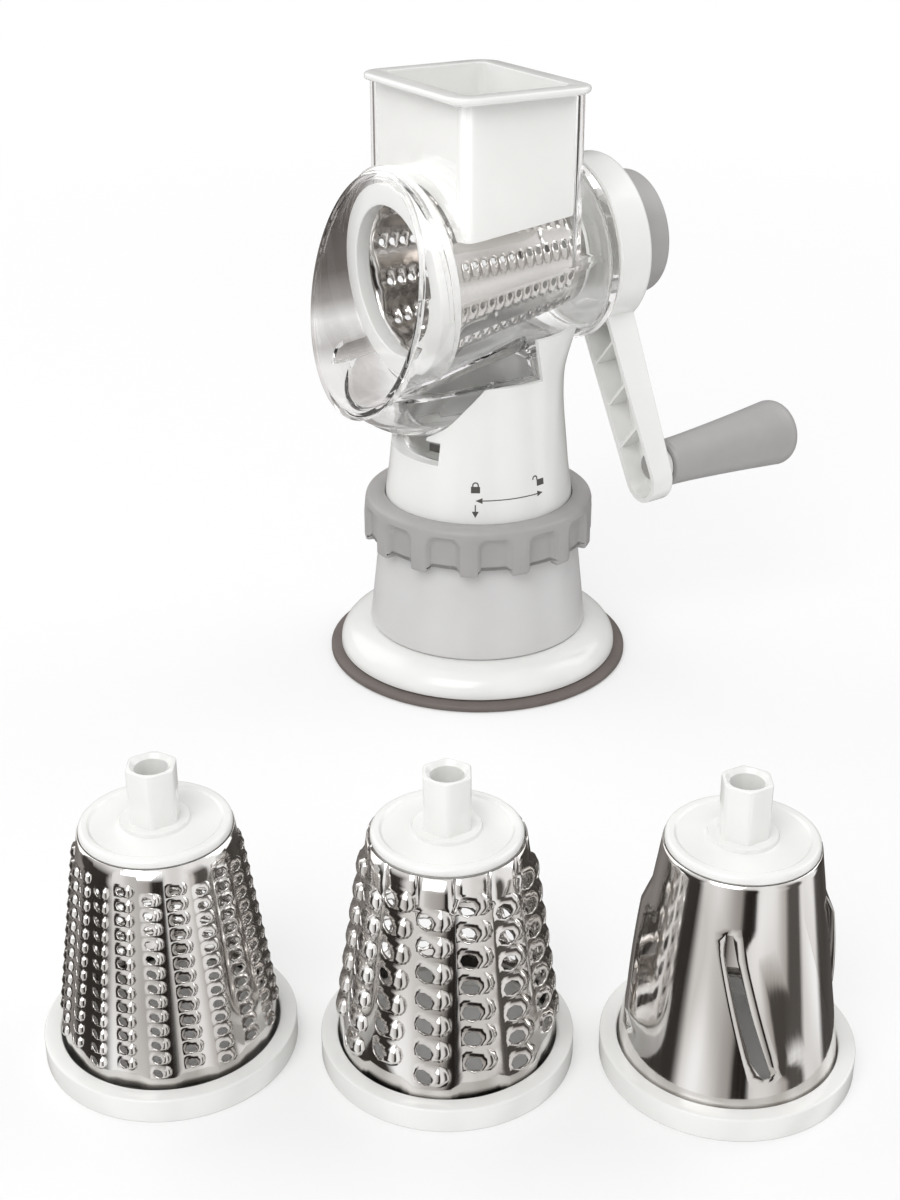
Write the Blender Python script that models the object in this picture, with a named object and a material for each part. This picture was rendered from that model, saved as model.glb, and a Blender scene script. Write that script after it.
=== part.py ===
"""Vegetable cutter: a hand cranked drum grater on a suction base, with three spare drums."""
import math

import bmesh
import bpy
from mathutils import Matrix, Vector

mm = 0.001

# Clearances
TOUCH = 0.3 * mm          # between pieces that rest on each other
RUN = 0.4 * mm            # between pieces that turn or slide in each other
PAST = 2 * mm             # how far a cut runs past the face that it opens
FAR = 20 * mm             # how far a cut runs on where nothing stands in its way

# Counts of facets round a full circle
FACETS_FINE = 40
FACETS_PLAIN = 24
FACETS_SMALL = 16
FACETS_SCREW = 12

# Suction cup and its lifting stem
CUP_R = 65 * mm
CUP_T = 3 * mm
STEM_R = 4 * mm
STEM_TOP = 72 * mm
STEM_PLATE_R = 22 * mm
STEM_PLATE_T = 2.5 * mm
PIN_R = 2 * mm
PIN_Z = 63 * mm
CUP_LIFT = 4 * mm
LOCK_TURN = math.radians(45)
SPRING_R = 7 * mm
SPRING_WIRE_R = 0.9 * mm
SPRING_TURNS = 6
KNOB_SPRING_R = 13 * mm
KNOB_SPRING_WIRE_R = 0.7 * mm
KNOB_SPRING_TURNS = 3
KNOB_SPRING_DEEP = 9.5 * mm

# Base flange
FLANGE_R = 60.4 * mm
FLANGE_LIP = 1.3 * mm
FLANGE_TOP = 14.9 * mm
FLANGE_WALL = 2.5 * mm
FLANGE_HOLE_R = 25 * mm

# Lower column
FOOT_R = 47 * mm
DECK_Z = 60 * mm
DECK_R = 42 * mm
DECK_T = 2 * mm
SHELL = 2.5 * mm
FOOT_RING_R = 38 * mm
FOOT_RING_H = 8.5 * mm
GUIDE_R = 10 * mm
GUIDE_LOW = 34 * mm
GUIDE_TOP = 77.6 * mm
BASE_SCREWS = 4
BASE_SCREW_RING = 41.5 * mm
BASE_SCREW_R = 1.5 * mm
BASE_SCREW_UP = 7 * mm
SCREW_HEAD_T = 2.2 * mm

# Lock ring and the cam inside it
RING_ROOM = 3 * mm
RING_WALL = 4.2 * mm
RING_TOP = 74.5 * mm
RING_TAB_Z = 54 * mm
RING_SCALLOP_Z = 56.8 * mm
RING_SCALLOP_TOP = 70.5 * mm
RING_TOP_T = 2.5 * mm
RING_SCALLOPS = 14
RING_SCALLOP_W = 13.2 * mm
RING_SCALLOP_DEEP = 2.4 * mm
RING_CROWN_H = 9 * mm
RING_CROWN_IN = 4.5 * mm
RING_CROWN = ((1, 0), (0.4, 0.111), (0.178, 0.333), (0, 1))
RING_EDGE = 1 * mm
RING_SCALLOP_ROUND = 2.6 * mm
RIDGE_AZIMUTH = math.radians(-36)
CAM_R = 14.2 * mm
CAM_WEB = 2 * mm
CAM_RIM = 2.6 * mm
CAM_TOP = 76 * mm

# Upper column
COLUMN_STEP = 2.2 * mm
COLUMN_SKIRT = 6.5 * mm
COLUMN_WALL = 2.3 * mm
COLUMN_FLOOR_T = 2.5 * mm
SHOULDER_Z = 130.6 * mm
WINDOW_DOWN = 33.6 * mm
WINDOW_H = 9.5 * mm
WINDOW_HALF = 19.6 * mm
# Middle of the column: how far down from the shoulder to the ring, and how far in from its skirt
COLUMN_WAIST = ((0.777, 1.7 * mm), (0.599, 2.7 * mm), (0.349, 4.1 * mm), (0.171, 4.6 * mm))
SHOULDER_IN = 4.1 * mm
SADDLE_RISE = 11.4 * mm
SADDLE_IN = 1.4 * mm
FIN_OUT = 1 * mm
# Half width of the front opening, and how far below the shoulder
ARCH_STEPS = ((13.6 * mm, 22.8 * mm), (21.2 * mm, 17.4 * mm), (27.2 * mm, 8.4 * mm), (31.7 * mm, 0))
ARCH_BACK_Y = -9 * mm
LEDGE = 4.6 * mm
LEDGE_T = 3 * mm
LEDGE_BRACE = 6 * mm
FIN_FRONT_Y = 9 * mm
FIN_SLOPE = 0.36
FIN_H = 19.4 * mm
COLUMN_SCREWS = 3
COLUMN_SCREW_RING = 7.2 * mm
COLUMN_SCREW_R = 1.2 * mm
COLUMN_SCREW_DOWN = 10 * mm

# Drum axis: starts at the drum's front face and climbs towards the crank
DRUM_FRONT_Y = -41 * mm
DRUM_UP = 39.7 * mm       # above the column's shoulder
DRUM_TILT = math.radians(3)

# Drum
DRUM_RING_R = 38.5 * mm
DRUM_RING_L = 8 * mm
DRUM_BIG_R = 33 * mm
DRUM_SMALL_R = 22.9 * mm
DRUM_CONE_L = 70 * mm
DRUM_STEEL_T = 0.8 * mm
DRUM_RING_SEAT = 5 * mm
DRUM_DISC_IN = 0.5 * mm
DRUM_DISC_T = 4 * mm
DRUM_SHAFT_R = 8 * mm
DRUM_SHAFT_L = 20 * mm
DRUM_SHAFT_BORE = 5 * mm

# Each drum: holes round, holes along, the share of a cell that is open, and slicing slots
MACHINE_DRUM = (12, 5, 0.45, 0)
SPARE_DRUMS = (("fine_drum", 14, 5, 0.45, 0), ("coarse_drum", 10, 4, 0.5, 0), ("slicer_drum", 0, 0, 0, 4))
SLICER_FACETS = 36
SLOT_HALF_L = 24 * mm
SLOT_HALF_W = 1.8 * mm
SLOT_LEAN = math.radians(12)

# Clear housing: chamber, mouth, hopper and neck
CHAMBER_WALL = 2.2 * mm
CHAMBER_GAP = 3.4 * mm
CHAMBER_REAR_R = 37 * mm
CHAMBER_REAR_S = 58 * mm
COLLAR_R = 38.4 * mm
COLLAR_L = 4 * mm
REAR_WALL = 2.5 * mm
CHAMBER_END_GAP = 3 * mm
MOUTH_START_S = 2 * mm
MOUTH_STEP = 0.2 * mm
RIM_Y = -52.7 * mm
RIM_DOWN = 4.4 * mm       # below the middle of the drum's front
RIM_HALF_X = 42.7 * mm
RIM_HALF_LONG = 47.5 * mm
RIM_SLANT = math.radians(12)
RIM_BEAD = 1.5 * mm
HOPPER_UP = 72.4 * mm     # above the middle of the drum's front
HOPPER_WALL = 2.2 * mm
HOPPER_CORNER = 4 * mm
NECK_ROOM = 0.9 * mm
NECK_DOWN = 33.6 * mm     # below the column's shoulder
NECK_WALL = 2 * mm
NECK_INTO_CHAMBER = 10 * mm
CHIN_GAP = 0.6 * mm
# How far below the shoulder, and the chin's front there
CHIN_STEPS = ((22 * mm, -42 * mm), (20.6 * mm, -47 * mm), (17.6 * mm, -52 * mm), (14.6 * mm, -56 * mm),
              (8.6 * mm, -59.5 * mm), (-0.4 * mm, -60 * mm), (-9.4 * mm, -58 * mm))
CHIN_BACK_Y = -12 * mm
BLOCK_HALF_X = 33 * mm
BLOCK_FRONT_Y = -57 * mm
BLOCK_CORNER = 12 * mm
BLOCK_GAP = 0.8 * mm

# Pusher
PUSHER_HALF_X = 34.6 * mm
PUSHER_HALF_Y = 25.5 * mm
PUSHER_Y = -2.8 * mm
PUSHER_WALL = 2.2 * mm
PUSHER_UP = 20.2 * mm     # above the middle of the drum's front
PUSHER_LOW_SLOPE = math.radians(7)
PUSHER_FLANGE_OUT = 5.9 * mm
PUSHER_FLANGE_T = 2.7 * mm
PUSHER_CORNER = 4 * mm
PUSHER_FLANGE_CORNER = 10 * mm
PUSHER_DRUM_GAP = 1.8 * mm

# Crank, release knob and grip
HUB_R = 36 * mm
HUB_GAP = 2.5 * mm
HUB_L = 16 * mm
HUB_WALL = 2.4 * mm
HUB_ROUND = 3 * mm
HUB_TUBE_R = 11.2 * mm
BUSH_R = 14.5 * mm
BUSH_FLANGE_R = 17.5 * mm
BUSH_FLANGE_T = 1.2 * mm
RETAINER_WIDE = 3 * mm
TUBE_INTO_CHAMBER = 1.6 * mm
KNOB_R = 26 * mm
KNOB_OUT = 16 * mm
KNOB_TRAVEL = 4 * mm
CRANK_ANGLE = math.radians(28)
CRANK_LENGTH = 98.5 * mm
ARM_HALF_HUB = 10.6 * mm
ARM_HALF_END = 10.4 * mm
ARM_END_OUT = 3.6 * mm
ARM_DEPTH_HUB = 13.5 * mm
ARM_DEPTH_END = 10.5 * mm
ARM_WALL = 2.2 * mm
ARM_RIBS = 3
COLLAR_BOSS_R = 6.8 * mm
COLLAR_BOSS_L = 3 * mm
GRIP_SMALL_R = 9.8 * mm
GRIP_BIG_R = 14.2 * mm
GRIP_L = 64 * mm
GRIP_ROUND = 7 * mm
GRIP_PIN_R = 3 * mm
GRIP_PIN_HEAD_R = 5.4 * mm
GRIP_PIN_IN = 52 * mm

# Spare drums stand in a row on the table, in front of the machine
ROW_AZIMUTH = math.radians(-33.3)
ROW_DISTANCE = 275 * mm
ROW_SPACING = 85 * mm


def make_material(name, hex_colour, roughness, metallic=0.0, alpha=1.0):
    """A Principled material from an sRGB hex colour."""
    mat = bpy.data.materials.new(name)
    mat.use_nodes = True
    shader = mat.node_tree.nodes["Principled BSDF"]
    parts = [int(hex_colour[i:i + 2], 16) / 255 for i in (0, 2, 4)]
    linear = [c / 12.92 if c <= 0.04045 else ((c + 0.055) / 1.055) ** 2.4 for c in parts]
    shader.inputs["Base Color"].default_value = (*linear, 1.0)
    shader.inputs["Roughness"].default_value = roughness
    shader.inputs["Metallic"].default_value = metallic
    shader.inputs["Alpha"].default_value = alpha
    return mat


def own_material(obj, look):
    """Give the object its own copy of a look."""
    hex_colour, roughness, metallic, alpha = look
    mat = make_material(obj.name + "_material", hex_colour, roughness, metallic, alpha)
    obj.data.materials.clear()
    obj.data.materials.append(mat)


WHITE_ABS = ("f1f1ef", 0.18, 0.0, 1.0)
LIGHT_GREY_ABS = ("d6d5d4", 0.28, 0.0, 1.0)
GREY_ABS = ("a9a7a6", 0.38, 0.0, 1.0)
CLEAR_SAN = ("c9c4c2", 0.05, 0.0, 0.35)
RUBBER = ("6a625e", 0.55, 0.0, 1.0)
STEEL = ("c8c6c3", 0.16, 1.0, 1.0)
NYLON = ("e8e8e4", 0.4, 0.0, 1.0)


def new_object(name, bm, frame=None, look=None, smooth=True):
    """Turn a bmesh into a placed object with outward normals."""
    bmesh.ops.remove_doubles(bm, verts=bm.verts, dist=1e-7)
    bmesh.ops.recalc_face_normals(bm, faces=bm.faces)
    mesh = bpy.data.meshes.new(name)
    bm.to_mesh(mesh)
    bm.free()
    if smooth:
        mesh.shade_smooth()
        mesh.set_sharp_from_angle(angle=math.radians(35))
    obj = bpy.data.objects.new(name, mesh)
    bpy.context.scene.collection.objects.link(obj)
    obj.parent = frame
    if look:
        own_material(obj, look)
    return obj


def new_frame(name, place, frame=None):
    """An empty that carries the pieces of one axis."""
    empty = bpy.data.objects.new(name, None)
    empty.matrix_basis = place
    empty.parent = frame
    bpy.context.scene.collection.objects.link(empty)
    return empty


def lathe(name, profile, frame=None, look=None, segments=FACETS_FINE):
    """Turn a closed outline of (radius, height) points round the local Z axis."""
    bm = bmesh.new()
    verts = [bm.verts.new((r, 0, z)) for r, z in profile]
    pairs = list(zip(verts, verts[1:]))
    if profile[0][0] > 0 or profile[-1][0] > 0:
        pairs.append((verts[-1], verts[0]))
    edges = [bm.edges.new(pair) for pair in pairs]
    bmesh.ops.spin(bm, geom=verts + edges, cent=(0, 0, 0), axis=(0, 0, 1),
                   angle=2 * math.pi, steps=segments, use_merge=True)
    return new_object(name, bm, frame, look)


def extrude_outline(name, points, depth, frame=None, look=None):
    """Extrude a closed outline of 3-D points by a vector."""
    bm = bmesh.new()
    face = bm.faces.new([bm.verts.new(p) for p in points])
    grown = bmesh.ops.extrude_face_region(bm, geom=[face])
    moved = [v for v in grown["geom"] if isinstance(v, bmesh.types.BMVert)]
    bmesh.ops.translate(bm, verts=moved, vec=depth)
    return new_object(name, bm, frame, look)


def loft(name, rings, frame=None, look=None):
    """Join a row of closed rings of points, with a cap at each end."""
    bm = bmesh.new()
    loops = [[bm.verts.new(p) for p in ring] for ring in rings]
    for low, high in zip(loops, loops[1:]):
        for i in range(len(low)):
            j = (i + 1) % len(low)
            bm.faces.new((low[i], low[j], high[j], high[i]))
    bm.faces.new(loops[0])
    bm.faces.new(loops[-1])
    return new_object(name, bm, frame, look)


def merge_into_cutter(name, objects):
    """Gather separate solids into one cutting object."""
    bm = bmesh.new()
    for obj in objects:
        piece = obj.data.copy()
        piece.transform(obj.matrix_basis)
        bm.from_mesh(piece)
        bpy.data.meshes.remove(piece)
    frame = objects[0].parent
    for obj in objects:
        bpy.data.objects.remove(obj)
    return new_object(name, bm, frame, smooth=False)


def boolean(target, operation, *others):
    """Add or cut with helper objects, which stay out of the model."""
    for other in others:
        mod = target.modifiers.new(operation.lower() + "_" + other.name, "BOOLEAN")
        mod.operation = operation
        mod.solver = "EXACT"
        mod.object = other
        other.hide_render = True
        other.display_type = "WIRE"


def rounded_rectangle(half_x, half_y, radius, z, centre_y=0.0, steps=4):
    """Points of a rectangle with round corners, counter-clockwise."""
    points = []
    for quarter, (sx, sy) in enumerate(((1, 1), (-1, 1), (-1, -1), (1, -1))):
        for k in range(steps + 1):
            a = math.pi / 2 * (quarter + k / steps)
            x = sx * (half_x - radius) + radius * math.cos(a)
            y = centre_y + sy * (half_y - radius) + radius * math.sin(a)
            points.append((x, y, z))
    return points


def arc(centre, rx, ry, start, end, steps):
    """Points of an elliptic arc in the outline plane, angles in degrees."""
    points = []
    for k in range(steps + 1):
        a = math.radians(start + (end - start) * k / steps)
        points.append((centre[0] + rx * math.cos(a), centre[1] + ry * math.sin(a)))
    return points


def cone_radius(s):
    """Outer radius of the drum's steel cone at a distance along the axis."""
    share = (s - DRUM_CONE_START) / DRUM_CONE_L
    return DRUM_BIG_R + (DRUM_SMALL_R - DRUM_BIG_R) * share


def chamber_radius(s):
    """Outer radius of the clear chamber at a distance along the axis."""
    front = DRUM_RING_R + CHAMBER_GAP + CHAMBER_WALL
    share = (s - DRUM_RING_L) / (CHAMBER_REAR_S - DRUM_RING_L)
    return front + (CHAMBER_REAR_R - front) * min(share, 1.0)


# Sizes and places that follow from the sizes above
RING_BORE = DECK_R + RING_ROOM
RING_R = RING_BORE + RING_WALL
COLUMN_R = DECK_R - COLUMN_STEP
WAIST_R = COLUMN_R - max(inset for share, inset in COLUMN_WAIST)
NECK_R = WAIST_R - COLUMN_WALL - NECK_ROOM
DRUM_CONE_START = DRUM_RING_L - 1 * mm
DRUM_DISC_S = DRUM_CONE_START + DRUM_CONE_L - DRUM_DISC_T
DRUM_END_S = DRUM_DISC_S + DRUM_DISC_T + 1 * mm
CHAMBER_END_S = DRUM_END_S + CHAMBER_END_GAP
HUB_S = CHAMBER_END_S + REAR_WALL + HUB_GAP
HUB_END_S = HUB_S + HUB_L
SPRING_LOW = CUP_T + TOUCH + STEM_PLATE_T + TOUCH
SPRING_HIGH = GUIDE_LOW - TOUCH
COLUMN_LOW = RING_TOP - COLUMN_SKIRT
COLUMN_FLOOR_Z = GUIDE_TOP + TOUCH
NECK_LOW = SHOULDER_Z - NECK_DOWN
WINDOW_Z = SHOULDER_Z - WINDOW_DOWN
WINDOW_TOP = WINDOW_Z + WINDOW_H
ARCH = [(half, SHOULDER_Z - down) for half, down in ARCH_STEPS]
CHIN_FRONT = [(SHOULDER_Z - down, front) for down, front in CHIN_STEPS]
FIN_TOP = SHOULDER_Z + FIN_H
BLOCK_TOP = FIN_TOP
DRUM_FRONT_Z = SHOULDER_Z + DRUM_UP
RIM_Z = DRUM_FRONT_Z - RIM_DOWN
HOPPER_TOP = DRUM_FRONT_Z + HOPPER_UP
PUSHER_LOW = DRUM_FRONT_Z + PUSHER_UP
PUSHER_SEAT = HOPPER_TOP + TOUCH


def column_stations():
    """Heights and outer radii of the upper column: a waist, then a flare to the saddle."""
    stations = [(COLUMN_LOW, COLUMN_R), (RING_TOP, COLUMN_R)]
    for share, inset in COLUMN_WAIST:
        stations.append((SHOULDER_Z - (SHOULDER_Z - RING_TOP) * share, COLUMN_R - inset))
    stations.append((SHOULDER_Z, COLUMN_R - SHOULDER_IN))
    stations.append((SHOULDER_Z + SADDLE_RISE, COLUMN_R - SADDLE_IN))
    stations.append((FIN_TOP, COLUMN_R + FIN_OUT))
    return stations


def column_radius(z):
    """Outer radius of the upper column at a height."""
    stations = column_stations()
    for (z0, r0), (z1, r1) in zip(stations, stations[1:]):
        if z <= z1:
            return r0 + (r1 - r0) * (z - z0) / (z1 - z0)
    return stations[-1][1]


def fin_front(z):
    """Front edge of the column's rear fin at a height: it leans forward as it climbs."""
    return FIN_FRONT_Y - (z - SHOULDER_Z) * FIN_SLOPE


def clear_scene():
    for obj in list(bpy.data.objects):
        bpy.data.objects.remove(obj)


def build_base():
    """Suction cup, lifting stem, base flange and lower column."""
    edge = 1 * mm
    lathe("suction_cup", [(0, 0), (CUP_R - edge, 0), (CUP_R, edge), (CUP_R, CUP_T - edge),
                          (CUP_R - edge, CUP_T), (0, CUP_T)], None, RUBBER)

    plate_low = CUP_T + TOUCH
    plate_top = plate_low + STEM_PLATE_T
    stem = lathe("lift_stem", [(0, plate_low), (STEM_PLATE_R, plate_low), (STEM_PLATE_R, plate_top),
                               (STEM_R, plate_top), (STEM_R, STEM_TOP), (0, STEM_TOP)],
                 None, NYLON, FACETS_SMALL)
    turn = Matrix.Rotation(math.pi / 2, 4, "Y")
    pin_frame = new_frame("stem_pin_frame", Matrix.Translation((0, 0, PIN_Z)) @ turn)
    pin_half = CAM_R + 1 * mm
    hole = PIN_R + TOUCH
    pin_hole = lathe("stem_pin_hole", [(0, -pin_half), (hole, -pin_half), (hole, pin_half), (0, pin_half)],
                     pin_frame, None, FACETS_SMALL)
    boolean(stem, "DIFFERENCE", pin_hole)
    lathe("stem_cross_pin", [(0, -pin_half), (PIN_R, -pin_half), (PIN_R, pin_half), (0, pin_half)],
          pin_frame, STEEL, FACETS_SMALL)

    coil_spring("stem_spring", SPRING_R, SPRING_WIRE_R, SPRING_TURNS, SPRING_LOW, SPRING_HIGH, None)

    lip_low = CUP_T + TOUCH
    lip_top = lip_low + FLANGE_LIP
    dome_out = arc((FOOT_R, lip_top), FLANGE_R - FOOT_R, FLANGE_TOP - lip_top, 0, 90, 5)
    inner_rise = FLANGE_TOP - FLANGE_WALL - lip_low
    dome_in = arc((FOOT_R - 1 * mm, lip_low), FLANGE_R - FOOT_R - 1.5 * mm, inner_rise, 90, 0, 3)
    flange = lathe("base_flange", [(FLANGE_R, lip_low)] + dome_out +
                   [(FLANGE_HOLE_R, FLANGE_TOP), (FLANGE_HOLE_R, FLANGE_TOP - FLANGE_WALL)] + dome_in,
                   None, WHITE_ABS)

    foot_z = FLANGE_TOP + TOUCH
    guide_bore = STEM_R + RUN
    column = lathe("lower_column", [
        (FOOT_R, foot_z), (DECK_R, DECK_Z), (GUIDE_R, DECK_Z), (GUIDE_R, GUIDE_TOP), (guide_bore, GUIDE_TOP),
        (guide_bore, GUIDE_LOW), (GUIDE_R, GUIDE_LOW), (GUIDE_R, DECK_Z - DECK_T),
        (DECK_R - SHELL, DECK_Z - DECK_T), (FOOT_R - SHELL - 1 * mm, foot_z + FOOT_RING_H),
        (FOOT_RING_R, foot_z + FOOT_RING_H), (FOOT_RING_R, foot_z)], None, LIGHT_GREY_ABS)
    slot_half = PIN_R + RUN
    slot_low = PIN_Z - slot_half
    slot_high = PIN_Z + CUP_LIFT + slot_half
    reach = GUIDE_R + 1 * mm
    slot = extrude_outline("guide_slot", [(-reach, -slot_half, slot_low), (reach, -slot_half, slot_low),
                                          (reach, -slot_half, slot_high), (-reach, -slot_half, slot_high)],
                           (0, 2 * slot_half, 0))
    boolean(column, "DIFFERENCE", slot)

    holes = []
    for n in range(BASE_SCREWS):
        a = math.pi / 4 + n * 2 * math.pi / BASE_SCREWS
        spot = Matrix.Translation((BASE_SCREW_RING * math.cos(a), BASE_SCREW_RING * math.sin(a), 0))
        frame = new_frame("base_screw_frame_%d" % (n + 1), spot)
        head = 2 * BASE_SCREW_R
        head_top = FLANGE_TOP - FLANGE_WALL - TOUCH
        head_low = head_top - SCREW_HEAD_T
        tip = foot_z + BASE_SCREW_UP
        lathe("base_screw_%d" % (n + 1), [(0, head_low), (head, head_low), (head, head_top),
                                          (BASE_SCREW_R, head_top), (BASE_SCREW_R, tip), (0, tip)],
              frame, STEEL, FACETS_SCREW)
        wide = BASE_SCREW_R + TOUCH
        start = head_low - PAST
        drill = lathe("base_screw_drill", [(0, start), (wide, start), (wide, tip + TOUCH), (0, tip + TOUCH)],
                      None, None, FACETS_SCREW)
        drill.matrix_basis = spot
        holes.append(drill)
    drills = merge_into_cutter("base_screw_holes", holes)
    boolean(column, "DIFFERENCE", drills)
    boolean(flange, "DIFFERENCE", drills)
    return column


def coil_spring(name, radius, wire, turns, low, high, frame):
    """A compression spring as one unbroken tube."""
    per_turn = 10
    count = turns * per_turn
    rise = high - low - 2 * wire
    curve = bpy.data.curves.new(name, "CURVE")
    curve.dimensions = "3D"
    curve.bevel_depth = wire
    curve.bevel_resolution = 1
    curve.use_fill_caps = True
    spline = curve.splines.new("POLY")
    spline.points.add(count)
    for k in range(count + 1):
        a = 2 * math.pi * k / per_turn
        spline.points[k].co = (radius * math.cos(a), radius * math.sin(a), low + wire + rise * k / count, 1)
    obj = bpy.data.objects.new(name, curve)
    bpy.context.scene.collection.objects.link(obj)
    obj.parent = frame
    own_material(obj, STEEL)
    pitch = rise / turns
    print("%s: least gap between turns %.2f mm" % (name, (pitch - 2 * wire) / mm))
    return obj


def build_lock_ring():
    """Scalloped ring that turns round the column, and the cam that it drives."""
    low = RING_TAB_Z
    plate = RING_TOP - RING_TOP_T
    bore = COLUMN_R + RUN
    crown = [(RING_R - RING_CROWN_IN * inward, RING_TOP - RING_CROWN_H * down)
             for inward, down in RING_CROWN]
    facets = 3 * RING_SCALLOPS
    ring = lathe("lock_ring", [(bore, plate), (bore, RING_TOP)] + crown +
                 [(RING_R, low + RING_EDGE), (RING_R - RING_EDGE, low), (RING_BORE, low),
                  (RING_BORE, plate)], None, GREY_ABS, facets)
    below = low - PAST
    scoops = []
    notches = []
    cut_r = ((RING_SCALLOP_W / 2) ** 2 + RING_SCALLOP_DEEP ** 2) / (2 * RING_SCALLOP_DEEP)
    for n in range(RING_SCALLOPS):
        a = RIDGE_AZIMUTH + (n + 0.5) * 2 * math.pi / RING_SCALLOPS
        away = RING_R - RING_SCALLOP_DEEP + cut_r
        spot = Matrix.Translation((away * math.cos(a), away * math.sin(a), 0)) @ Matrix.Rotation(a, 4, "Z")
        shoulder = RING_SCALLOP_TOP - RING_SCALLOP_ROUND
        scoop = lathe("scoop", [(0, below), (cut_r, below), (cut_r, shoulder),
                                (cut_r - RING_SCALLOP_ROUND, RING_SCALLOP_TOP), (0, RING_SCALLOP_TOP)],
                      None, None, FACETS_PLAIN)
        scoop.matrix_basis = spot
        scoops.append(scoop)
        half = RING_SCALLOP_W / 2
        near = RING_BORE - PAST - away
        far = RING_R + PAST - away
        notch = extrude_outline("notch", [(near, -half, below), (far, -half, below),
                                          (far, half, below), (near, half, below)],
                                (0, 0, RING_SCALLOP_Z - below))
        notch.matrix_basis = spot
        notches.append(notch)
    boolean(ring, "DIFFERENCE", merge_into_cutter("ring_scoops", scoops))
    boolean(ring, "DIFFERENCE", merge_into_cutter("ring_notches", notches))

    web = DECK_Z + TOUCH
    bore = GUIDE_R + RUN
    rim = RING_BORE - TOUCH
    cam = lathe("ring_cam", [(bore, web), (rim, web), (rim, plate - TOUCH), (rim - CAM_RIM, plate - TOUCH),
                             (rim - CAM_RIM, web + CAM_WEB), (CAM_R, web + CAM_WEB), (CAM_R, CAM_TOP),
                             (bore, CAM_TOP)], None, NYLON, FACETS_PLAIN)
    boolean(cam, "DIFFERENCE", helical_slots())


def helical_slots():
    """Two ramps that lift the cross pin as the cam turns by the lock angle."""
    half = PIN_R + 0.6 * mm
    overrun = math.radians(14)
    inner = GUIDE_R - 1 * mm
    outer = CAM_R + 3 * mm
    steps = 9
    solids = []
    for side in (0, math.pi):
        rings = []
        for k in range(steps + 1):
            turn = -overrun + (LOCK_TURN + 2 * overrun) * k / steps
            climb = CUP_LIFT * min(max(turn / LOCK_TURN, 0), 1)
            z = PIN_Z + climb
            c = math.cos(side + turn)
            s = math.sin(side + turn)
            rings.append([(inner * c, inner * s, z - half), (outer * c, outer * s, z - half),
                          (outer * c, outer * s, z + half), (inner * c, inner * s, z + half)])
        solids.append(loft("cam_slot", rings))
    return merge_into_cutter("cam_slots", solids)


def build_upper_column(chamber_cut):
    """White column with the front cut-out, the latch window and the rear saddle."""
    outer = [(radius, z) for z, radius in column_stations()]
    inner = [(radius - COLUMN_WALL, z) for radius, z in reversed(outer)]
    floor_top = COLUMN_FLOOR_Z + COLUMN_FLOOR_T
    ledge_top = NECK_LOW - TOUCH
    wall_at_ledge = column_radius(ledge_top) - COLUMN_WALL
    skirt = COLUMN_R - COLUMN_WALL
    hole = STEM_R + RUN
    inside = [p for p in inner if p[1] > ledge_top]
    profile = outer + inside + [
        (wall_at_ledge, ledge_top), (wall_at_ledge - LEDGE, ledge_top),
        (wall_at_ledge - LEDGE, ledge_top - LEDGE_T), (wall_at_ledge - 0.5 * mm, ledge_top - LEDGE_BRACE),
        (skirt - 0.6 * mm, floor_top), (hole, floor_top), (hole, COLUMN_FLOOR_Z),
        (skirt, COLUMN_FLOOR_Z), (skirt, COLUMN_LOW)]
    column = lathe("upper_column", profile, None, WHITE_ABS, FACETS_FINE)

    wide = FLANGE_R
    top = FIN_TOP + PAST
    over = [(fin_front(SHOULDER_Z), SHOULDER_Z), (-wide, SHOULDER_Z), (-wide, top), (fin_front(top), top)]
    above = extrude_outline("shoulder_cut", [(-wide, y, z) for y, z in over], (2 * wide, 0, 0))
    half = [(WINDOW_HALF, WINDOW_Z), (WINDOW_HALF, WINDOW_TOP), (ARCH[0][0], WINDOW_TOP)] + ARCH
    half.append((ARCH[-1][0] + 1 * mm, SHOULDER_Z + 2 * mm))
    outline = half + [(-x, z) for x, z in reversed(half)]
    arch = extrude_outline("arch_cut", [(x, -wide, z) for x, z in outline], (0, wide + ARCH_BACK_Y, 0))
    boolean(column, "DIFFERENCE", arch, above, chamber_cut)

    holes = []
    for n in range(COLUMN_SCREWS):
        a = math.pi / 2 + n * 2 * math.pi / COLUMN_SCREWS
        spot = Matrix.Translation((COLUMN_SCREW_RING * math.cos(a), COLUMN_SCREW_RING * math.sin(a), 0))
        frame = new_frame("column_screw_frame_%d" % (n + 1), spot)
        seat = floor_top + TOUCH
        tip = GUIDE_TOP - COLUMN_SCREW_DOWN
        head = 2 * COLUMN_SCREW_R
        head_top = seat + SCREW_HEAD_T
        lathe("column_screw_%d" % (n + 1), [(0, tip), (COLUMN_SCREW_R, tip), (COLUMN_SCREW_R, seat),
                                            (head, seat), (head, head_top), (0, head_top)],
              frame, STEEL, FACETS_SCREW)
        slack = COLUMN_SCREW_R + TOUCH
        drill_tip = tip - TOUCH
        drill = lathe("column_screw_drill", [(0, drill_tip), (slack, drill_tip), (slack, seat), (0, seat)],
                      None, None, FACETS_SCREW)
        drill.matrix_basis = spot
        holes.append(drill)
    drills = merge_into_cutter("column_screw_holes", holes)
    boolean(column, "DIFFERENCE", drills)
    return drills


def hexagon(radius, z):
    """Corner points of a hexagon round the axis."""
    return [(radius * math.cos(math.pi / 3 * k), radius * math.sin(math.pi / 3 * k), z) for k in range(6)]


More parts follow.
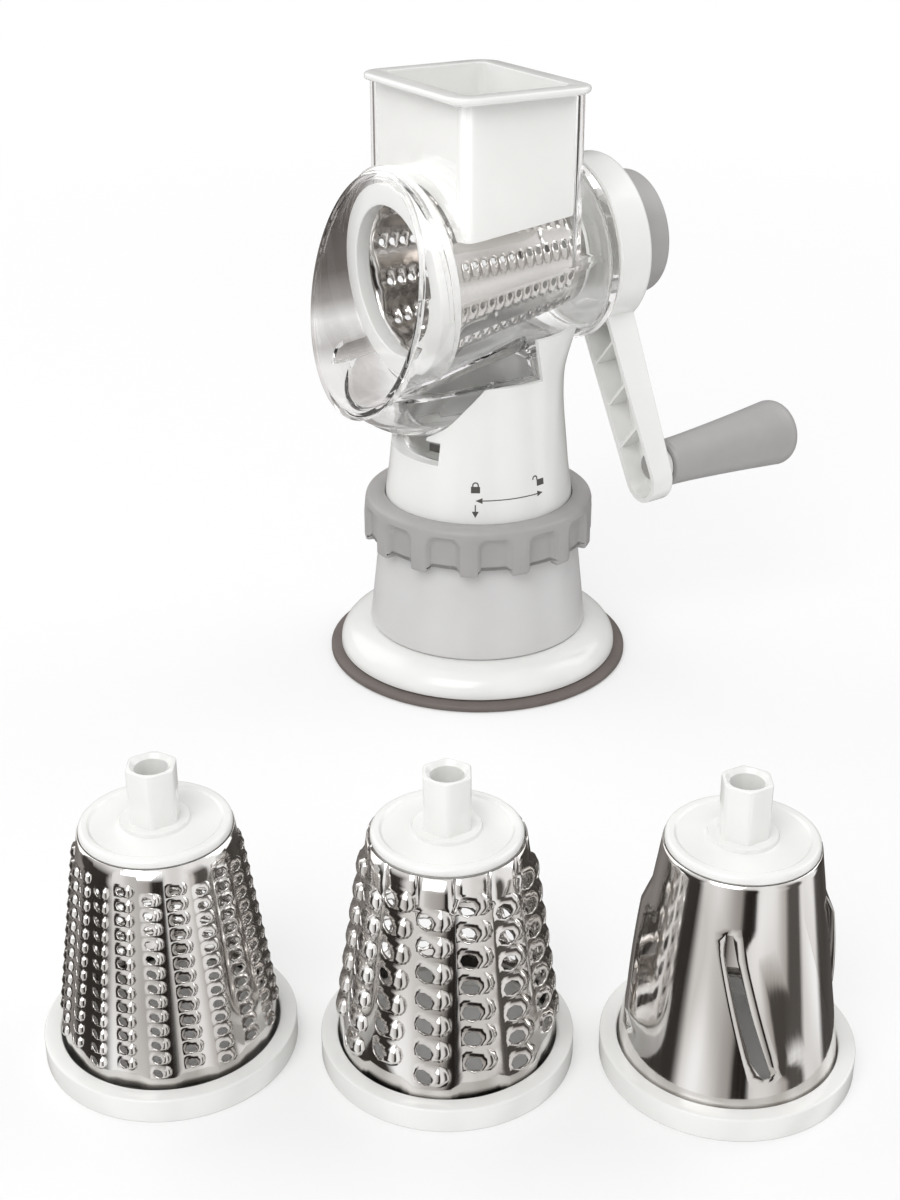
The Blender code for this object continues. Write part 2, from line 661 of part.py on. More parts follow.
def drum_body(prefix, frame, holes_round, holes_long, hole_share, slots):
    """One drum: steel cone, white rim ring and white hub with its drive shaft."""
    steel_cone(prefix + "_shell", frame, holes_round, holes_long, hole_share, slots)

    inner = DRUM_BIG_R - 3 * mm
    lip = 1 * mm
    ring = [(inner, 0), (DRUM_RING_R - lip, 0), (DRUM_RING_R, lip), (DRUM_RING_R, DRUM_RING_L - lip),
            (DRUM_RING_R - lip, DRUM_RING_L), (DRUM_BIG_R + TOUCH, DRUM_RING_L),
            (DRUM_BIG_R + TOUCH, DRUM_RING_L - DRUM_RING_SEAT), (inner, DRUM_RING_L - DRUM_RING_SEAT)]
    lathe(prefix + "_rim_ring", ring, frame, WHITE_ABS, FACETS_PLAIN)

    disc_r = DRUM_SMALL_R - DRUM_STEEL_T - TOUCH
    rim = DRUM_SMALL_R - DRUM_DISC_IN
    over = DRUM_END_S - 1 * mm + TOUCH
    hub = lathe(prefix + "_hub", [
        (0, DRUM_DISC_S), (disc_r, DRUM_DISC_S), (disc_r, over), (rim, over),
        (rim, over + 1.2 * mm), (rim - 1 * mm, over + 2 * mm),
        (0, over + 2 * mm)], frame, WHITE_ABS, FACETS_PLAIN)
    low = over + 1 * mm
    end = DRUM_END_S + DRUM_SHAFT_L
    shaft = extrude_outline(prefix + "_shaft", hexagon(DRUM_SHAFT_R, low), (0, 0, end - low), frame)
    bore = lathe(prefix + "_shaft_bore", [(0, DRUM_DISC_S - 1 * mm), (DRUM_SHAFT_BORE, DRUM_DISC_S - 1 * mm),
                                          (DRUM_SHAFT_BORE, end + 1 * mm), (0, end + 1 * mm)],
                 frame, None, FACETS_SMALL)
    boolean(hub, "UNION", shaft)
    boolean(hub, "DIFFERENCE", bore)


def open_cell(bm, corners, share):
    """A four sided cell with a hole in its middle."""
    middle = sum((v.co for v in corners), Vector()) / len(corners)
    inner = [bm.verts.new(middle + (v.co - middle) * share) for v in corners]
    for i in range(len(corners)):
        j = (i + 1) % len(corners)
        bm.faces.new((corners[i], corners[j], inner[j], inner[i]))


def steel_cone(name, frame, holes_round, holes_long, hole_share, slots):
    """The perforated cone, its cells drawn in and opened, then given its thickness."""
    bm = bmesh.new()
    start = DRUM_RING_L - DRUM_RING_SEAT + TOUCH
    end = DRUM_CONE_START + DRUM_CONE_L
    plain_low = DRUM_RING_L + 3 * mm
    plain_high = end - 5 * mm
    if slots:
        stations = [start, end]
        columns = SLICER_FACETS
    else:
        cell = (plain_high - plain_low) / holes_long
        stations = [start] + [plain_low + cell * k for k in range(holes_long + 1)] + [end]
        columns = holes_round
    around = columns if columns > 20 else columns * 2
    loops = []
    for s in stations:
        radius = cone_radius(max(s, DRUM_CONE_START))
        loops.append([bm.verts.new((radius * math.cos(2 * math.pi * k / around),
                                    radius * math.sin(2 * math.pi * k / around), s)) for k in range(around)])
    for row, (low, high) in enumerate(zip(loops, loops[1:])):
        for k in range(around):
            j = (k + 1) % around
            corners = (low[k], low[j], high[j], high[k])
            holed = 0 < row < len(stations) - 2
            if holed and not slots and (around == columns or k % 2 == 0):
                open_cell(bm, corners, hole_share)
            else:
                bm.faces.new(corners)
    shell = new_object(name, bm, frame, STEEL)
    wall = shell.modifiers.new("steel_thickness", "SOLIDIFY")
    wall.thickness = DRUM_STEEL_T
    wall.offset = -1
    if slots:
        boolean(shell, "DIFFERENCE", slicing_slots(name + "_slots", frame, slots))
    return shell


def slicing_slots(name, frame, count):
    """Long slanted slots round the cone."""
    middle = DRUM_CONE_START + DRUM_CONE_L * 0.5
    near = cone_radius(DRUM_CONE_START + DRUM_CONE_L) - DRUM_STEEL_T - PAST
    reach = DRUM_BIG_R + PAST - near
    solids = []
    for n in range(count):
        place = (Matrix.Rotation(2 * math.pi * n / count, 4, "Z") @ Matrix.Translation((0, 0, middle)) @
                 Matrix.Rotation(SLOT_LEAN, 4, "X"))
        outline = [(near, -SLOT_HALF_W, -SLOT_HALF_L), (near, SLOT_HALF_W, -SLOT_HALF_L),
                   (near, SLOT_HALF_W, SLOT_HALF_L), (near, -SLOT_HALF_W, SLOT_HALF_L)]
        slot = extrude_outline("slot", outline, (reach, 0, 0), frame)
        slot.matrix_basis = place
        solids.append(slot)
    return merge_into_cutter(name, solids)


def build_housing(axis):
    """Clear housing in one moulding: neck, chamber, flared mouth and hopper."""
    neck_top = SHOULDER_Z + NECK_INTO_CHAMBER
    housing = lathe("grater_housing", [(0, NECK_LOW), (NECK_R, NECK_LOW), (NECK_R, neck_top), (0, neck_top)],
                    None, CLEAR_SAN)
    neck_in = NECK_R - NECK_WALL
    neck_hollow = lathe("neck_hollow", [(0, NECK_LOW - 1 * mm), (neck_in, NECK_LOW - 1 * mm),
                                        (neck_in, neck_top - 1 * mm), (0, neck_top - 1 * mm)])
    chin = loft("chin_outside", chin_rings(0))
    chin_hollow = loft("chin_hollow", chin_rings(NECK_WALL))
    block_low = SHOULDER_Z + TOUCH
    block = loft("block_outside", [block_ring(block_low, 0), block_ring(BLOCK_TOP, 0)])
    block_hollow = loft("block_hollow", [block_ring(block_low + NECK_WALL, NECK_WALL),
                                         block_ring(BLOCK_TOP - 1 * mm, NECK_WALL)])

    front = MOUTH_START_S
    stations = [front, DRUM_RING_L, CHAMBER_REAR_S, CHAMBER_END_S - COLLAR_L + REAR_WALL]
    outer = [(chamber_radius(s), s) for s in stations]
    end = CHAMBER_END_S + REAR_WALL
    chamber = lathe("chamber_outside", [(0, front)] + outer +
                    [(COLLAR_R, stations[-1]), (COLLAR_R, end - 1 * mm), (COLLAR_R - 1 * mm, end), (0, end)],
                    axis)
    inner = [(chamber_radius(s) - CHAMBER_WALL, s) for s in stations[1:3]]
    inner_end = chamber_radius(CHAMBER_REAR_S) - CHAMBER_WALL
    front_in = chamber_radius(front) - CHAMBER_WALL
    hollow = lathe("chamber_inside", [(0, front - 1 * mm), (front_in, front - 1 * mm)] + inner +
                   [(inner_end, CHAMBER_END_S), (0, CHAMBER_END_S)], axis)

    mouth_r = chamber_radius(front) + MOUTH_STEP
    mouth = loft("mouth_outside", [circle_ring(mouth_r - 1 * mm, front + 2 * mm, axis),
                                   circle_ring(mouth_r, front, axis),
                                   rim_ring(0.55, 0), rim_ring(1, 0), rim_ring(1, RIM_BEAD, 1 * mm)])
    throat = loft("mouth_inside", [circle_ring(mouth_r - CHAMBER_WALL, front + 1 * mm, axis),
                                   rim_ring(0.55, -CHAMBER_WALL), rim_ring(1, -CHAMBER_WALL),
                                   rim_ring(1, -CHAMBER_WALL, 5 * mm)])

    half_x = PUSHER_HALF_X + RUN + HOPPER_WALL
    half_y = PUSHER_HALF_Y + RUN + HOPPER_WALL
    low = DRUM_FRONT_Z + 4 * mm
    outside = loft("hopper_outside", [rounded_rectangle(half_x, half_y, HOPPER_CORNER, z, PUSHER_Y)
                                      for z in (low, HOPPER_TOP)])
    clear_x = half_x - HOPPER_WALL
    clear_y = half_y - HOPPER_WALL
    inside = loft("hopper_inside", [rounded_rectangle(clear_x, clear_y, HOPPER_CORNER - 1 * mm, z, PUSHER_Y)
                                    for z in (low + 2 * mm, HOPPER_TOP + 2 * mm)])
    bush_hole = BUSH_R + TOUCH
    bore = lathe("rear_bore", [(0, CHAMBER_END_S - 1 * mm), (bush_hole, CHAMBER_END_S - 1 * mm),
                               (bush_hole, end + 1 * mm), (0, end + 1 * mm)], axis, None, FACETS_PLAIN)

    boolean(housing, "UNION", chin, block)
    boolean(housing, "DIFFERENCE", neck_hollow, chin_hollow, block_hollow)
    boolean(housing, "UNION", chamber, mouth, outside)
    boolean(housing, "DIFFERENCE", hollow, throat, inside, bore)

    slack = 0.6 * mm
    cut = [(chamber_radius(s) + slack, s) for s in stations]
    reach = FAR
    collar_start = stations[-1] - slack
    collar_room = COLLAR_R + slack
    return lathe("chamber_clearance", [(0, front - reach), (cut[0][0], front - reach)] + cut[1:3] +
                 [(CHAMBER_REAR_R + slack, collar_start), (collar_room, collar_start),
                  (collar_room, end + reach), (0, end + reach)], axis)


def circle_ring(radius, s, axis):
    """A circle round the drum axis, in world coordinates, starting at the +X side."""
    points = []
    for k in range(FACETS_FINE):
        a = 2 * math.pi * k / FACETS_FINE
        points.append(axis.matrix_basis @ Vector((radius * math.cos(a), radius * math.sin(a), s)))
    return points


def rim_ring(share, grow, forward=0):
    """A ring of the mouth between the chamber's front and the slanted rim."""
    radius = chamber_radius(MOUTH_START_S) + MOUTH_STEP
    points = []
    for k in range(FACETS_FINE):
        a = 2 * math.pi * k / FACETS_FINE
        x = (RIM_HALF_X + grow) * math.cos(a)
        along = -(RIM_HALF_LONG + grow) * math.sin(a)
        y = RIM_Y + along * math.sin(RIM_SLANT) - forward
        z = RIM_Z + along * math.cos(RIM_SLANT)
        base_y = DRUM_FRONT_Y + MOUTH_START_S * math.cos(DRUM_TILT)
        base_z = DRUM_FRONT_Z + MOUTH_START_S * math.sin(DRUM_TILT)
        bx = (radius + grow) * math.cos(a)
        by = base_y + (radius + grow) * math.sin(a) * math.sin(DRUM_TILT)
        bz = base_z - (radius + grow) * math.sin(a) * math.cos(DRUM_TILT)
        points.append((bx + (x - bx) * share, by + (y - by) * share, bz + (z - bz) * share))
    return points


def arch_half_width(z):
    """Half width of the column's front opening at a height."""
    for (x0, z0), (x1, z1) in zip(ARCH, ARCH[1:]):
        if z <= z1:
            return x0 + (x1 - x0) * (z - z0) / (z1 - z0)
    return ARCH[-1][0]


def chin_rings(wall):
    """Level sections of the chin that fills the column's opening and swells to the mouth."""
    rings = []
    steps = FACETS_FINE // 4
    for z, front in CHIN_FRONT:
        half = arch_half_width(z) - CHIN_GAP - wall
        low = z + wall
        centre = front + wall + half
        ring = []
        for k in range(2 * steps + 1):
            a = math.pi + math.pi * k / (2 * steps)
            ring.append((half * math.cos(a), centre + half * math.sin(a), low))
        ring.append((half, CHIN_BACK_Y, low))
        ring.append((-half, CHIN_BACK_Y, low))
        rings.append(ring)
    return rings


def block_ring(z, shrink):
    """Level section of the clear block that sits on the column's shoulder."""
    half = BLOCK_HALF_X - shrink
    front = BLOCK_FRONT_Y + shrink
    rear = fin_front(z) - BLOCK_GAP - shrink
    radius = BLOCK_CORNER - shrink
    side = [(half, rear)]
    for k in range(5):
        a = math.pi / 2 * k / 4
        side.append((half - radius + radius * math.cos(a), front + radius - radius * math.sin(a)))
    return [(x, y, z) for x, y in side] + [(-x, y, z) for x, y in reversed(side)]


def build_pusher(axis):
    """Open white box that presses the food on to the drum, with a wide rounded flange."""
    top = PUSHER_SEAT + PUSHER_FLANGE_T
    rise = 2 * PUSHER_HALF_Y * math.tan(PUSHER_LOW_SLOPE)
    body = []
    for z in (PUSHER_LOW, PUSHER_SEAT + 1 * mm):
        body.append(rounded_rectangle(PUSHER_HALF_X, PUSHER_HALF_Y, PUSHER_CORNER, z, PUSHER_Y))
    front = PUSHER_Y - PUSHER_HALF_Y
    low_ring = [(x, y, z + math.tan(PUSHER_LOW_SLOPE) * (y - front)) for x, y, z in body[0]]
    pusher = loft("pusher", [low_ring, body[1]], None, WHITE_ABS)
    wide_x = PUSHER_HALF_X + PUSHER_FLANGE_OUT
    wide_y = PUSHER_HALF_Y + PUSHER_FLANGE_OUT
    bead = 1 * mm
    plates = [(wide_x - bead, wide_y - bead, PUSHER_SEAT), (wide_x, wide_y, PUSHER_SEAT + bead),
              (wide_x, wide_y, top - bead), (wide_x - bead, wide_y - bead, top)]
    flange = loft("pusher_flange", [rounded_rectangle(hx, hy, PUSHER_FLANGE_CORNER, z, PUSHER_Y)
                                    for hx, hy, z in plates])
    inner_x = PUSHER_HALF_X - PUSHER_WALL
    inner_y = PUSHER_HALF_Y - PUSHER_WALL
    cavity_low = PUSHER_LOW + rise + PUSHER_WALL
    inner_corner = PUSHER_CORNER - 1.5 * mm
    cavity = loft("pusher_cavity", [rounded_rectangle(inner_x, inner_y, inner_corner, z, PUSHER_Y)
                                    for z in (cavity_low, top + 1 * mm)])
    start = DRUM_CONE_START - 2 * mm
    stop = DRUM_CONE_START + DRUM_CONE_L
    arch_gap = PUSHER_DRUM_GAP
    arch = lathe("drum_arch", [(0, start), (cone_radius(start) + arch_gap, start),
                               (cone_radius(stop) + arch_gap, stop), (0, stop)], axis)
    floor_gap = arch_gap + PUSHER_WALL
    arch_floor = lathe("drum_arch_floor", [(0, start), (cone_radius(start) + floor_gap, start),
                                           (cone_radius(stop) + floor_gap, stop), (0, stop)], axis)
    boolean(cavity, "DIFFERENCE", arch_floor)
    boolean(pusher, "UNION", flange)
    boolean(pusher, "DIFFERENCE", cavity, arch)


def build_crank(axis):
    """Crank moulding, its bearing, the release knob and the turning grip."""
    front = HUB_S
    back = HUB_END_S
    knob_hole = KNOB_R + RUN
    tube_start = CHAMBER_END_S - TUBE_INTO_CHAMBER
    round_edge = arc((HUB_R - HUB_ROUND, back - HUB_ROUND), HUB_ROUND, HUB_ROUND, 0, 90, 3)
    floor = DRUM_END_S + DRUM_SHAFT_L - KNOB_TRAVEL - HUB_WALL
    socket_r = DRUM_SHAFT_R + RUN
    starter = socket_r * math.cos(math.pi / 6) - 0.3 * mm
    crank = lathe("crank_arm", [
        (HUB_R - 1 * mm, front), (HUB_R, front + 1 * mm)] + round_edge + [
        (knob_hole, back), (knob_hole, floor + HUB_WALL), (starter, floor + HUB_WALL), (starter, tube_start),
        (HUB_TUBE_R, tube_start), (HUB_TUBE_R, floor), (HUB_R - HUB_WALL - 4 * mm, floor),
        (HUB_R - HUB_WALL, floor - 4 * mm), (HUB_R - HUB_WALL, front)], axis, WHITE_ABS)
    socket = extrude_outline("hub_socket", hexagon(socket_r, tube_start - 1 * mm),
                             (0, 0, floor + HUB_WALL - tube_start + 2 * mm), axis)
    boolean(crank, "DIFFERENCE", socket)

    along = (math.sin(CRANK_ANGLE), math.cos(CRANK_ANGLE))
    across = (math.cos(CRANK_ANGLE), -math.sin(CRANK_ANGLE))

    def spot(u, v, s):
        return (along[0] * u + across[0] * v, along[1] * u + across[1] * v, s)

    def arm_outline(shrink, s_of):
        start = HUB_R - HUB_WALL / 2 - 1 * mm + shrink
        points = [(start, ARM_HALF_HUB - shrink)]
        for k in range(9):
            a = math.pi / 2 - math.pi * k / 8
            radius = ARM_HALF_END - shrink
            points.append((CRANK_LENGTH + ARM_END_OUT + radius * math.cos(a), radius * math.sin(a)))
        points.append((start, -ARM_HALF_HUB + shrink))
        return [spot(u, v, s_of(u)) for u, v in points]

    def back_face(u):
        share = (u - HUB_R) / (CRANK_LENGTH - HUB_R)
        return front + ARM_DEPTH_HUB + (ARM_DEPTH_END - ARM_DEPTH_HUB) * share

    arm = loft("arm_outside", [arm_outline(0, lambda u: front), arm_outline(0, back_face)], axis)
    channel = loft("arm_channel", [arm_outline(ARM_WALL, lambda u: front - 1 * mm),
                                   arm_outline(ARM_WALL, lambda u: back_face(u) - ARM_WALL)], axis)
    ribs = []
    for n in range(ARM_RIBS):
        u = HUB_R + (CRANK_LENGTH - HUB_R) * (n + 0.6) / (ARM_RIBS + 0.4)
        half = 0.9 * mm
        reach = ARM_HALF_HUB - 1 * mm
        ribs.append(loft("rib", [[spot(u - half, -reach, s), spot(u + half, -reach, s),
                                  spot(u + half, reach, s), spot(u - half, reach, s)]
                                 for s in (front + 1 * mm, front + ARM_DEPTH_END - 1 * mm)], axis))
    rib_set = merge_into_cutter("arm_ribs", ribs)
    boolean(channel, "DIFFERENCE", rib_set)
    boolean(arm, "DIFFERENCE", channel)
    boolean(crank, "UNION", arm)
    end_spot = Matrix.Translation((along[0] * CRANK_LENGTH, along[1] * CRANK_LENGTH, 0))
    grip_axis = new_frame("grip_axis", end_spot, axis)
    pin_hole = GRIP_PIN_R + TOUCH
    end_back = back_face(CRANK_LENGTH)
    drill_low = front - PAST
    drill_high = end_back + PAST
    drill = lathe("grip_pin_drill", [(0, drill_low), (pin_hole, drill_low), (pin_hole, drill_high),
                                     (0, drill_high)], grip_axis, None, FACETS_SMALL)
    boolean(crank, "DIFFERENCE", drill)

    bush_bore = HUB_TUBE_R + RUN
    bush_seat = CHAMBER_END_S + REAR_WALL + TOUCH
    bush_end = bush_seat + BUSH_FLANGE_T
    lathe("rear_bush", [(bush_bore, CHAMBER_END_S), (BUSH_R, CHAMBER_END_S), (BUSH_R, bush_seat),
                        (BUSH_FLANGE_R, bush_seat), (BUSH_FLANGE_R, bush_end), (bush_bore, bush_end)],
          axis, NYLON, FACETS_PLAIN)
    ring_in = HUB_TUBE_R + TOUCH
    ring_out = HUB_TUBE_R + RETAINER_WIDE
    ring_end = CHAMBER_END_S - TOUCH
    lathe("retaining_ring", [(ring_in, tube_start), (ring_out, tube_start), (ring_out, ring_end),
                             (ring_in, ring_end)], axis, STEEL, FACETS_PLAIN)

    knob_front = floor + HUB_WALL + KNOB_TRAVEL + TOUCH
    knob_end = back + KNOB_OUT
    edge = arc((KNOB_R - 2.5 * mm, knob_end - 2.5 * mm), 2.5 * mm, 2.5 * mm, 0, 90, 3)
    room = KNOB_SPRING_WIRE_R + 3 * TOUCH
    deep = knob_front + KNOB_SPRING_DEEP
    shaft_room = DRUM_SHAFT_R + 1 * mm
    shaft_deep = knob_front + KNOB_TRAVEL + 1 * mm
    lathe("release_knob", [(KNOB_SPRING_R + room, knob_front), (KNOB_R, knob_front)] + edge +
          [(0, knob_end + 0.6 * mm), (0, shaft_deep), (shaft_room, shaft_deep), (shaft_room, knob_front),
           (KNOB_SPRING_R - room, knob_front), (KNOB_SPRING_R - room, deep), (KNOB_SPRING_R + room, deep)],
          axis, GREY_ABS, FACETS_PLAIN)
    spring_low = floor + HUB_WALL + TOUCH
    coil_spring("knob_spring", KNOB_SPRING_R, KNOB_SPRING_WIRE_R, KNOB_SPRING_TURNS, spring_low,
                deep - KNOB_TRAVEL - TOUCH, axis)

    boss_low = back_face(CRANK_LENGTH - COLLAR_BOSS_R) + TOUCH
    boss_top = boss_low + COLLAR_BOSS_L
    collar_bore = GRIP_PIN_R + TOUCH
    lathe("grip_collar", [(collar_bore, boss_low), (COLLAR_BOSS_R, boss_low), (COLLAR_BOSS_R, boss_top),
                          (collar_bore, boss_top)], grip_axis, NYLON, FACETS_PLAIN)
    channel_floor = end_back - ARM_WALL
    head = 2 * mm
    pin_end = boss_top + GRIP_PIN_IN
    lathe("grip_pin", [(0, channel_floor - TOUCH - head), (GRIP_PIN_HEAD_R, channel_floor - TOUCH - head),
                       (GRIP_PIN_HEAD_R, channel_floor - TOUCH), (GRIP_PIN_R, channel_floor - TOUCH),
                       (GRIP_PIN_R, pin_end), (0, pin_end)], grip_axis, STEEL, FACETS_SMALL)
    low = boss_top + TOUCH
    high = low + GRIP_L
    bore = GRIP_PIN_R + RUN
    dome = arc((GRIP_BIG_R - GRIP_ROUND, high - GRIP_ROUND), GRIP_ROUND, GRIP_ROUND, 0, 90, 4)
    lathe("grip", [(bore, low), (GRIP_SMALL_R - 1 * mm, low), (GRIP_SMALL_R, low + 1 * mm)] + dome +
          [(0, high), (0, pin_end + RUN), (bore, pin_end + RUN)], grip_axis, GREY_ABS, FACETS_PLAIN)


def build_spares():
    """Three spare drums standing on their rim rings, side by side."""
    out = Vector((math.cos(ROW_AZIMUTH), math.sin(ROW_AZIMUTH), 0))
    side = Vector((-out.y, out.x, 0))
    for n, (prefix, around, along, share, slots) in enumerate(SPARE_DRUMS):
        spot = out * ROW_DISTANCE + side * ROW_SPACING * (n - 1)
        frame = new_frame(prefix + "_frame", Matrix.Translation(spot))
        drum_body(prefix, frame, around, along, share, slots)


def main():
    clear_scene()
    place = Matrix.Translation((0, DRUM_FRONT_Y, DRUM_FRONT_Z))
    axis = new_frame("drum_axis", place @ Matrix.Rotation(DRUM_TILT - math.pi / 2, 4, "X"))
    lower_column = build_base()
    build_lock_ring()
    chamber_cut = build_housing(axis)
    drills = build_upper_column(chamber_cut)
    boolean(lower_column, "DIFFERENCE", drills)
    build_pusher(axis)
    drum_body("drum", axis, *MACHINE_DRUM)
    build_crank(axis)
    build_spares()


main()
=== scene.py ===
"""Looks for the vegetable cutter: fine shells, toothed drums, finishes, studio light and camera."""
import math

import bmesh
import bpy
from mathutils import Matrix, Vector


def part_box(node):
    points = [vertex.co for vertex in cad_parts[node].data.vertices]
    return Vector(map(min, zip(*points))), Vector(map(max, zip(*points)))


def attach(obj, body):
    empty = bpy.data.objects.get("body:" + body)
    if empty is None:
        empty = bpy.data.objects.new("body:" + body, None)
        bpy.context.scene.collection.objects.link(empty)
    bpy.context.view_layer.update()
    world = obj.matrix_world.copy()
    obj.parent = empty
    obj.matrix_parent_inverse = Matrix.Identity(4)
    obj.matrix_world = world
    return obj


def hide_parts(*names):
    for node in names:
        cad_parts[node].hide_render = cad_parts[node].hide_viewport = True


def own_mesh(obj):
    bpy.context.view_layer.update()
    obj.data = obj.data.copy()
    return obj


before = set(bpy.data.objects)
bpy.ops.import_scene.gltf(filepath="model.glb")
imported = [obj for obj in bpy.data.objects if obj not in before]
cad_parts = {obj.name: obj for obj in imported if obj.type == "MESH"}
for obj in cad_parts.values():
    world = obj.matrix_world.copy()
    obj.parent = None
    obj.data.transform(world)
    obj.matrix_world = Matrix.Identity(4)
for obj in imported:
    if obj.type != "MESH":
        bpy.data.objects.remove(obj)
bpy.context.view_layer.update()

# All sizes are in millimetres. A finished piece is turned to metres.
MM = 0.001

# Facets round a full turn
ROUND = 128
SMALL_ROUND = 48

# Suction cup and base flange
CUP_R = 65.0
CUP_T = 3.0
CUP_RIBS = (52.0, 44.0, 36.0)
FLANGE_R = 60.4
FLANGE_LOW = 3.3
FLANGE_LIP = 1.3
FLANGE_TOP = 14.9
FLANGE_WALL = 2.5
FLANGE_HOLE_R = 25.0

# Lower column with its guide tube
FOOT_R = 47.0
FOOT_Z = 15.2
DECK_R = 42.0
DECK_Z = 60.0
SHELL = 2.5
GUIDE_R = 10.0
GUIDE_BORE = 4.4
GUIDE_LOW = 34.0
GUIDE_TOP = 77.6
PIN_SLOT_HALF = 2.4
PIN_SLOT_LOW = 60.6
PIN_SLOT_HIGH = 69.4

# Lock ring
RING_R = 49.2
RING_BORE = 45.0
RING_HOLE_R = 40.2
RING_TOP = 74.5
RING_TOP_T = 2.5
RING_TAB_Z = 54.0
RING_SCALLOP_Z = 56.8
RING_SCALLOP_TOP = 71.0
SCALLOPS = 14
SCALLOP_W = 15.4
SCALLOP_DEEP = 2.4
SCALLOP_CORNER = 5.0
RIDGE_AZIMUTH = math.radians(-36)

# Upper column
COLUMN_LOW = 68.0
COLUMN_R = 39.8
COLUMN_STATIONS = ((39.8, 74.5), (38.1, 87), (37.1, 97), (35.7, 111), (35.2, 121), (35.7, 130.6),
                   (38.4, 142), (40.8, 150))
COLUMN_WALL = 2.3
COLUMN_FLOOR_Z = 77.9
COLUMN_FLOOR_T = 2.5
LEDGE = 4.6
LEDGE_TOP = 96.7
SHOULDER_Z = 130.6
FIN_TOP = 150.0
FIN_FRONT_Y = 9.0
FIN_SLOPE = 0.36
WINDOW_HALF = 19.6
WINDOW_LOW = 97.0
WINDOW_TOP = 106.5
ARCH = ((13.6, 107.8), (21.2, 113.2), (27.2, 122.2), (31.7, 130.6))
ARCH_BACK_Y = -9.0

# Signs on the column: where the closed and the open padlock stand, and the printed ink
CLOSED_AZIMUTH = math.radians(-33.4)
OPEN_AZIMUTH = math.radians(10.3)
INK_GAP = 0.02
INK_THICK = 0.05

# Drum axis, from the drum's front face towards the crank
DRUM_FRONT = Vector((0, -41.0, 170.3))
DRUM_TILT = math.radians(3)
AXIS = Matrix.Translation(DRUM_FRONT) @ Matrix.Rotation(DRUM_TILT - math.pi / 2, 4, "X")

# Drums
DRUM_RING_R = 38.5
DRUM_RING_L = 8.0
DRUM_RING_SEAT = 5.0
DRUM_BIG_R = 33.0
DRUM_SMALL_R = 22.9
DRUM_MEAN_R = 28.0
DRUM_CONE_START = 7.0
DRUM_CONE_END = 77.0
DRUM_SHEET_S = 3.3
DRUM_SHEET_T = 0.8
DRUM_SHEET_EDGE = 0.5
DRUM_DISC_R = 22.4
DRUM_DISC_S = 73.0
DRUM_HUB_S = 77.3
DRUM_HUB_T = 2.2
DRUM_SHAFT_R = 8.0
DRUM_SHAFT_END = 98.0
DRUM_SHAFT_BORE = 5.0
DRUM_SKIRT_S = 6.4

# Grating teeth: columns round the drum, teeth in a column, and a tooth's width round the drum, its height
# along it, its hole's width and how far its dome stands out
MACHINE_TEETH = (12, 13, (8.0, 4.1, 3.3, 1.4))
FINE_TEETH = (20, 13, (6.2, 4.0, 3.2, 1.4))
COARSE_TEETH = (14, 7, (10.0, 6.2, 4.8, 2.2))
TOOTH_RIM = 0.45
TOOTH_STEPS = 8
TOOTH_ROWS = 6

# Slicing slots: how many, and the share of a turn that each leans over the drum's length
SLOTS = 4
SLOT_LEAN = 0.12

# Clear housing
WALL = 2.2
CHAMBER_FRONT_R = 44.1
CHAMBER_REAR_R = 37.0
CHAMBER_REAR_S = 58.0
CHAMBER_END_S = 81.0
CHAMBER_OUT_S = 83.5
COLLAR_R = 38.4
COLLAR_S = 79.5
MOUTH_START_S = 2.0
MOUTH_R = 45.152
RIM_Y = -52.7
RIM_Z = 165.9
RIM_HALF_X = 42.7
RIM_HALF_LONG = 47.5
RIM_SLANT = math.radians(12)
RIM_BEAD = 1.5
HOPPER_TOP = 242.7
HOPPER_CORNER = 4.0
NECK_R = 32.0
NECK_LOW = 97.0
NECK_TOP = 140.6
NECK_WALL = 2.0
CHIN_GAP = 0.6
CHIN_WALL = 1.3
CHIN_FRONT = ((108.6, -42), (110, -47), (113, -52), (116, -56), (122, -59.5), (131, -60), (140, -58))
CHIN_BACK_Y = -12.0
BLOCK_HALF_X = 33.0
BLOCK_FRONT_Y = -57.0
BLOCK_CORNER = 12.0
BLOCK_GAP = 0.8
BLOCK_TOP = 150.0

# Pusher
PUSHER_HALF_X = 34.6
PUSHER_HALF_Y = 25.5
PUSHER_Y = -2.8
PUSHER_LOW = 190.5
PUSHER_SLOPE = math.radians(7)
PUSHER_SEAT = 243.0
PUSHER_TOP = 245.7
PUSHER_CORNER = 4.0
PUSHER_WALL = 2.2
FLANGE_OUT = 5.9
PUSHER_DRUM_GAP = 1.8

# Crank, release knob and grip
HUB_S = 86.0
HUB_END_S = 102.0
HUB_R = 36.0
HUB_WALL = 2.4
HUB_ROUND = 3.0
HUB_FLOOR_S = 91.6
HUB_TUBE_R = 11.2
HUB_TUBE_START = 79.4
SOCKET_BORE = 6.972
BUSH_R = 14.5
BUSH_FLANGE_R = 17.5
KNOB_R = 26.0
KNOB_FRONT_S = 98.3
KNOB_END_S = 118.0
KNOB_PEG_R = 9.0
KNOB_SKIRT_IN = 11.4
KNOB_SKIRT_OUT = 14.6
CRANK_ANGLE = math.radians(28)
CRANK_LENGTH = 98.5
ARM = AXIS @ Matrix.Rotation(math.pi / 2 - CRANK_ANGLE, 4, "Z")
ARM_HALF_HUB = 10.6
ARM_HALF_END = 10.4
ARM_END_OUT = 3.6
ARM_DEPTH_HUB = 13.5
ARM_DEPTH_END = 10.5
ARM_WALL = 2.2
ARM_RIBS = 3
GRIP_AXIS = ARM @ Matrix.Translation((CRANK_LENGTH, 0, 0))
GRIP_PIN_R = 3.0
GRIP_COLLAR_R = 6.8
GRIP_COLLAR_S = 97.0
GRIP_COLLAR_L = 3.0
GRIP_S = 100.3
GRIP_L = 64.0
GRIP_BORE_L = 52.7
GRIP_SMALL_R = 9.8
